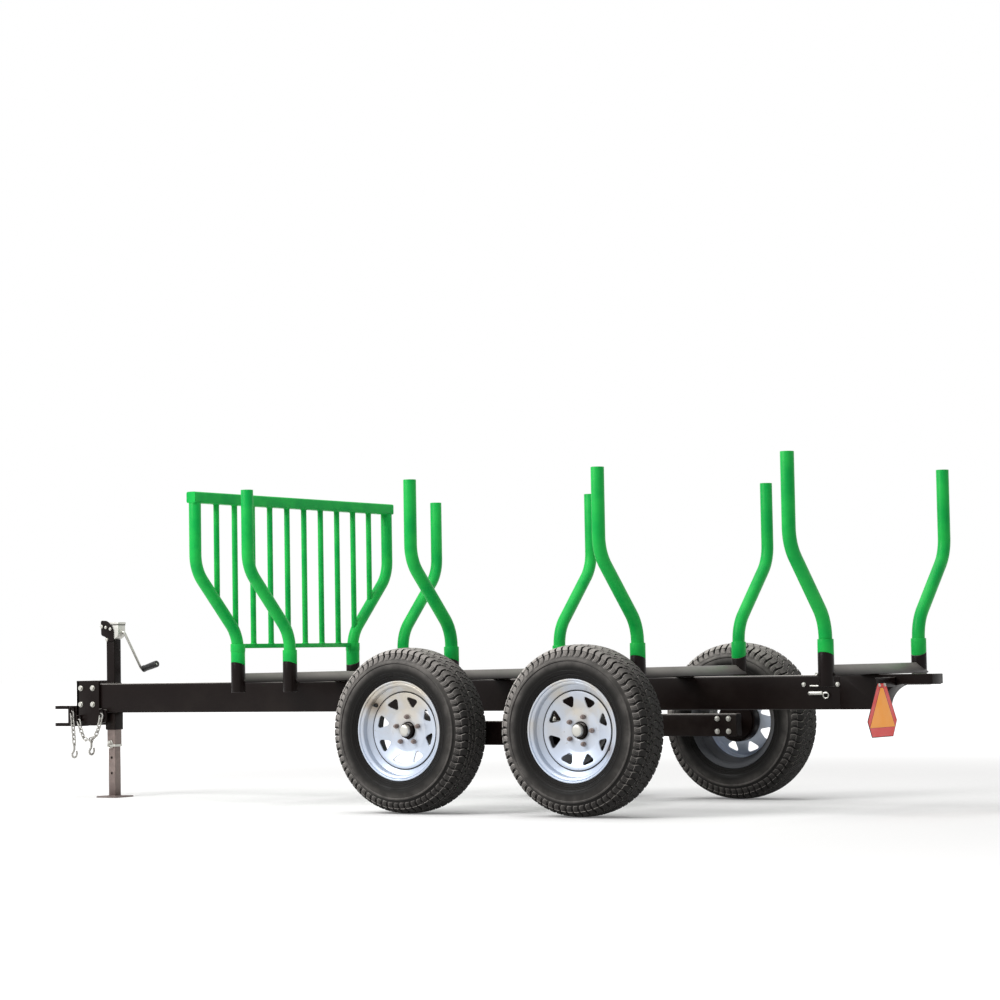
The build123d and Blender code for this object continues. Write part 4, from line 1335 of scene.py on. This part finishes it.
class TRAILER_OT_jack(bpy.types.Operator):
    """Make the jack: sleeve, tube, gear head, leg, crank and grip"""
    bl_idname = "log_trailer.jack"
    bl_label = "Jack"

    def execute(self, context):
        sleeve_tube = square_tube(31.0, 25.7, 327.0, 409.7, 5.0)
        piece("jack_sleeve", sleeve_tube, ["frame_black"])

        tube = square_tube(25.4, 21.9, 245.0, 764.0, 4.5)
        bmesh.ops.bisect_plane(tube, geom=tube.verts[:] + tube.edges[:] + tube.faces[:], dist=0.001,
                               plane_co=(0, 0, JACK_PAINT_Z), plane_no=(0, 0, 1))
        for face in tube.faces:
            face.material_index = 0 if face.calc_center_median().z > JACK_PAINT_Z else 1
        put(tube, square_tube(27.2, 25.2, 245.0, 256.0, 5.0), paint=2)
        near = turned([(0, 42), (6.6, 42), (8, 40.6), (8, 34), (5.6, 32), (5.6, 28), (8, 26.4), (8, 22.4),
                       (0, 22.4)], 24, False)
        far = turned([(0, 32), (6.6, 32), (7.8, 30.8), (7.8, 26), (8, 22.4), (0, 22.4)], 24, False)
        put(tube, near, move(JACK_X, 0, JACK_PIN_Z), 2)
        put(tube, far, flip() @ move(JACK_X, 0, JACK_PIN_Z), 2)
        near.free()
        far.free()
        lie = move(JACK_X, 30.0, 253.5) @ Matrix.Rotation(radians(8), 4, "Z")
        put(tube, wire_ring(15, 1.6, 24), lie, 2)
        piece("jack_tube", tube, ["frame_black", "worn_steel", "zinc"])

        head = plate([(JACK_X - 53, 846), (JACK_X + 29, 846), (JACK_X + 29, HEAD_LOW),
                      (JACK_X - 26, HEAD_LOW), (JACK_X - 53, 782)], "Y", -26, 26, {3: 8, 4: 12}, 2.0)
        drill(head, 6.8, 50.0, at(CRANK_X - 2, 0, CRANK_Z, (1, 0, 0)))
        put(head, block(JACK_X - 53.4, JACK_X + 29.4, -26.4, 26.4, 832.5, 837.5, 0.6), paint=1)
        put(head, block(JACK_X - 55, JACK_X + 31, -28, 28, 837, 848, 2.0, 3))
        put(head, sleeve(11.0, 6.9, 0.0, 8.5, around=28, edge=0.8), at(CRANK_X + 9, 0, CRANK_Z, (1, 0, 0)))
        side_plate = [(JACK_X + 55, 858), (JACK_X + 19, 856), (JACK_X + 3, 848), (JACK_X - 15, 830),
                      (JACK_X - 25, 808), (JACK_X - 25, 756), (JACK_X + 14, 756), (JACK_X + 24, 776),
                      (JACK_X + 53, 785)]
        put(head, plate(side_plate, "Y", 26, 31, {0: 9, 5: 6, 6: 7, 7: 6, 8: 9}), paint=1)
        for x, z, across in ((2027, 828, 13.0), (2000, 824, 11.0), (1971, 815.6, 11.0), (1994, 764, 12.0)):
            put(head, bolt(across, 3.0), at(x, 31, z, (0, 1, 0)), 0)
        piece("jack_head", head, ["zinc", "frame_black"])

        leg = square_tube(21.4, 17.4, 6.0, 400.0, 4.0)
        for z in (117.0, 192.0):
            drill(leg, 7.0, 80.0, at(JACK_X, -40, z, (0, 1, 0)))
        put(leg, square_bar(65, 0, 7, 8))
        for s in (-1, 1):
            put(leg, weld((JACK_X - 20, s * 23, 8), (JACK_X + 20, s * 23, 8)))
            put(leg, weld((JACK_X + s * 23, -20, 8), (JACK_X + s * 23, 20, 8)))
        piece("jack_leg", leg, ["worn_steel"], body="leg")

        swing = radians(34.5)
        lean = radians(16.0)
        low_end = Vector((CRANK_X, -CRANK_ARM * sin(swing), CRANK_Z - CRANK_ARM * cos(swing)))
        way = Vector((-cos(lean), sin(swing) * sin(lean), cos(swing) * sin(lean)))
        tip = low_end + way * GRIP_REACH
        crank = bar_along([(JACK_X - 30, 0, CRANK_Z), (CRANK_X, 0, CRANK_Z), low_end, tip], 9.0, 6.3)
        piece("jack_crank", crank, ["zinc"], body="crank")
        grip = turned([(6.9, 14), (15.0, 14), (16.8, 15.8), (16.8, 22), (15.6, 26), (15.2, 36), (15.9, 60),
                       (16.5, 92), (16.8, 112), (16.2, 117), (13.8, 119.8), (6.9, 119.8)], 28)
        handle = copied(grip, Matrix.Translation(low_end) @ facing(way) @ Matrix.Rotation(pi / 2, 4, "X"))
        grip.free()
        piece("crank_grip", handle, ["grip_black_and_groove_shade"], body="crank")
        return {"FINISHED"}


class TRAILER_OT_lock_pin(bpy.types.Operator):
    """Make the lock pin of the rear beam with its ring"""
    bl_idname = "log_trailer.lock_pin"
    bl_label = "Lock pin"

    def execute(self, context):
        pin = bar_along([(PIN_X, -76, PIN_Z), (PIN_X, 61, PIN_Z), (PIN_X - 62, 61, PIN_Z)], 9.0, 7.8, 20, 5)
        put(pin, post(3.0, 26.0, 14, 0.6), at(PIN_X - 58, 61, PIN_Z, (-1, 0, 0)))
        put(pin, wire_ring(12, 2.6, 28), move(PIN_X - 76, 61, PIN_Z - 9))
        piece("lock_pin", pin, ["zinc"])
        return {"FINISHED"}


class TRAILER_OT_sign(bpy.types.Operator):
    """Make the warning triangle"""
    bl_idname = "log_trailer.sign"
    bl_label = "Warning triangle"

    def execute(self, context):
        outline = [(-37, 0), (37, 0), (135, -150), (97, -214), (-97, -214), (-135, -150)]
        spots = [(SIGN_Y + y, SIGN_TOP + z) for y, z in outline]
        sign = plate(spots, "X", SIGN_X - SIGN_T, SIGN_X, dict.fromkeys(range(6), 4.0), 0.3)
        back = [f for f in sign.faces if f.normal.x < -0.99 and f.calc_area() > 1000]
        bmesh.ops.inset_region(sign, faces=back, thickness=2.5, depth=0.0, use_even_offset=True)
        for face in back:
            face.material_index = 1
        # The wider dark red plate under the orange shows as a thin line round it: painted shade.
        for grow, paint, lift in ((4.0, 3, 0.12), (0.0, 2, 0.3)):
            inner = [(-12 - grow, -20 + grow), (12 + grow, -20 + grow), (114 + grow, -175 - grow * 0.4),
                     (-114 - grow, -175 - grow * 0.4)]
            spots = [(SIGN_Y + y, SIGN_TOP + z) for y, z in inner]
            put(sign, plate(spots, "X", SIGN_X - SIGN_T - lift, SIGN_X - 1.0, edge=0.0), paint=paint)
        for s in (-1, 1):
            put(sign, bolt(10.0, 3.5), at(SIGN_X - SIGN_T, SIGN_Y + s * 24, SIGN_TOP - 9, (-1, 0, 0)), 4)
        paints = ["frame_black", "sign_red", "sign_orange", "sign_shade", "zinc"]
        piece("warning_triangle", sign, paints)
        return {"FINISHED"}


class TRAILER_OT_stage(bpy.types.Operator):
    """Make the floor, the lights, the world and the camera"""
    bl_idname = "log_trailer.stage"
    bl_label = "Stage"

    def execute(self, context):
        scene = context.scene
        scene.view_settings.view_transform = "Standard"
        bm = bmesh.new()
        bmesh.ops.create_grid(bm, x_segments=1, y_segments=1, size=FLOOR_HALF)
        mesh = bpy.data.meshes.new("floor")
        bm.to_mesh(mesh)
        bm.free()
        floor = bpy.data.objects.new("floor", mesh)
        scene.collection.objects.link(floor)
        mix = Recipe("studio_floor")
        shade = mix.add("ShaderNodeBsdfDiffuse", None, {"Color": (0.80, 0.80, 0.80, 1.0)})
        pale = mix.add("ShaderNodeBsdfDiffuse", None, {"Color": (0.80, 0.795, 0.79, 1.0)})
        away = mix.add("ShaderNodeVectorMath", {"operation": "LENGTH"}, {0: mix.place}, out="Value")
        glow = mix.add("ShaderNodeEmission", None, {"Strength": 0.15 + 0.75 * mix.band(away, 2.6, 9.0)})
        seen = mix.add("ShaderNodeAddShader", None, {0: pale, 1: glow})
        both = mix.add("ShaderNodeMixShader", None, {0: seen_rays(mix), 1: shade, 2: seen})
        mix.add("ShaderNodeOutputMaterial", None, {"Surface": both})
        mesh.materials.append(mix.material)

        world = bpy.data.worlds.new("studio")
        scene.world = world
        sky = Recipe("studio", world)
        level = 0.40 + seen_rays(sky) * 0.60
        sky.add("ShaderNodeOutputWorld", None, {
            "Surface": sky.add("ShaderNodeBackground", None, {"Color": (1, 1, 1, 1), "Strength": level})})

        for name, place, look, size, power in LAMPS:
            lamp = bpy.data.lights.new(name, "AREA")
            lamp.size = size
            lamp.energy = power
            thing = bpy.data.objects.new(name, lamp)
            scene.collection.objects.link(thing)
            way = Vector(look) - Vector(place)
            aim = way.to_track_quat("-Z", "Y").to_matrix().to_4x4()
            thing.matrix_world = Matrix.Translation(place) @ aim

        lens = bpy.data.cameras.new("camera")
        lens.sensor_width = 36.0
        lens.lens = 36.0 * FOCAL
        lens.clip_end = 200.0
        camera = bpy.data.objects.new("camera", lens)
        scene.collection.objects.link(camera)
        ahead = Vector((sin(YAW) * cos(PITCH), -cos(YAW) * cos(PITCH), sin(PITCH)))
        level_right = ahead.cross(Vector((0, 0, 1))).normalized()
        level_up = level_right.cross(ahead)
        right = level_right * cos(ROLL) + level_up * sin(ROLL)
        up = level_up * cos(ROLL) - level_right * sin(ROLL)
        turn = Matrix((right, up, -ahead)).transposed().to_4x4()
        camera.matrix_world = Matrix.Translation(EYE) @ turn
        scene.camera = camera
        return {"FINISHED"}


def seen_rays(recipe):
    """1 for rays of the camera, of gloss and of glass, 0 for the light on the object."""
    path = recipe.add("ShaderNodeLightPath", out="Is Camera Ray")
    node = path.socket.node
    gloss = Tone(recipe, node.outputs["Is Glossy Ray"])
    glass = Tone(recipe, node.outputs["Is Transmission Ray"])
    return path.sum("MINIMUM", path + gloss + glass, 1.0)


class TRAILER_PT_panel(bpy.types.Panel):
    """Lists the trailer's pieces"""
    bl_idname = "TRAILER_PT_panel"
    bl_label = "Log trailer"
    bl_space_type = "VIEW_3D"
    bl_region_type = "UI"
    bl_category = "Log trailer"

    def draw(self, context):
        column = self.layout.column()
        for group in (context.scene.trailer_sizes, context.scene.trailer_colours):
            for key in group.__annotations__:
                column.prop(group, key)
        for operator in OPERATORS:
            column.operator(operator.bl_idname)


OPERATORS = (
    TRAILER_OT_stage,
    TRAILER_OT_beams,
    TRAILER_OT_bunks,
    TRAILER_OT_stakes,
    TRAILER_OT_headboard,
    TRAILER_OT_bogies,
    TRAILER_OT_tyres,
    TRAILER_OT_rims,
    TRAILER_OT_hubs,
    TRAILER_OT_hitch,
    TRAILER_OT_chains,
    TRAILER_OT_jack,
    TRAILER_OT_lock_pin,
    TRAILER_OT_sign,
)
CLASSES = (TrailerSizes, TrailerColours) + OPERATORS + (TRAILER_PT_panel,)


def register():
    """Registers the classes and gives the scene its sizes and colours."""
    for each in CLASSES:
        bpy.utils.register_class(each)
    bpy.types.Scene.trailer_sizes = PointerProperty(type=TrailerSizes)
    bpy.types.Scene.trailer_colours = PointerProperty(type=TrailerColours)


def unregister():
    """Takes back what register did."""
    del bpy.types.Scene.trailer_colours
    del bpy.types.Scene.trailer_sizes
    for each in reversed(CLASSES):
        bpy.utils.unregister_class(each)


def main():
    """Makes every piece in order."""
    register()
    for operator in OPERATORS:
        group, name = operator.bl_idname.split(".")
        getattr(getattr(bpy.ops, group), name)()


if __name__ == "__main__":
    main()
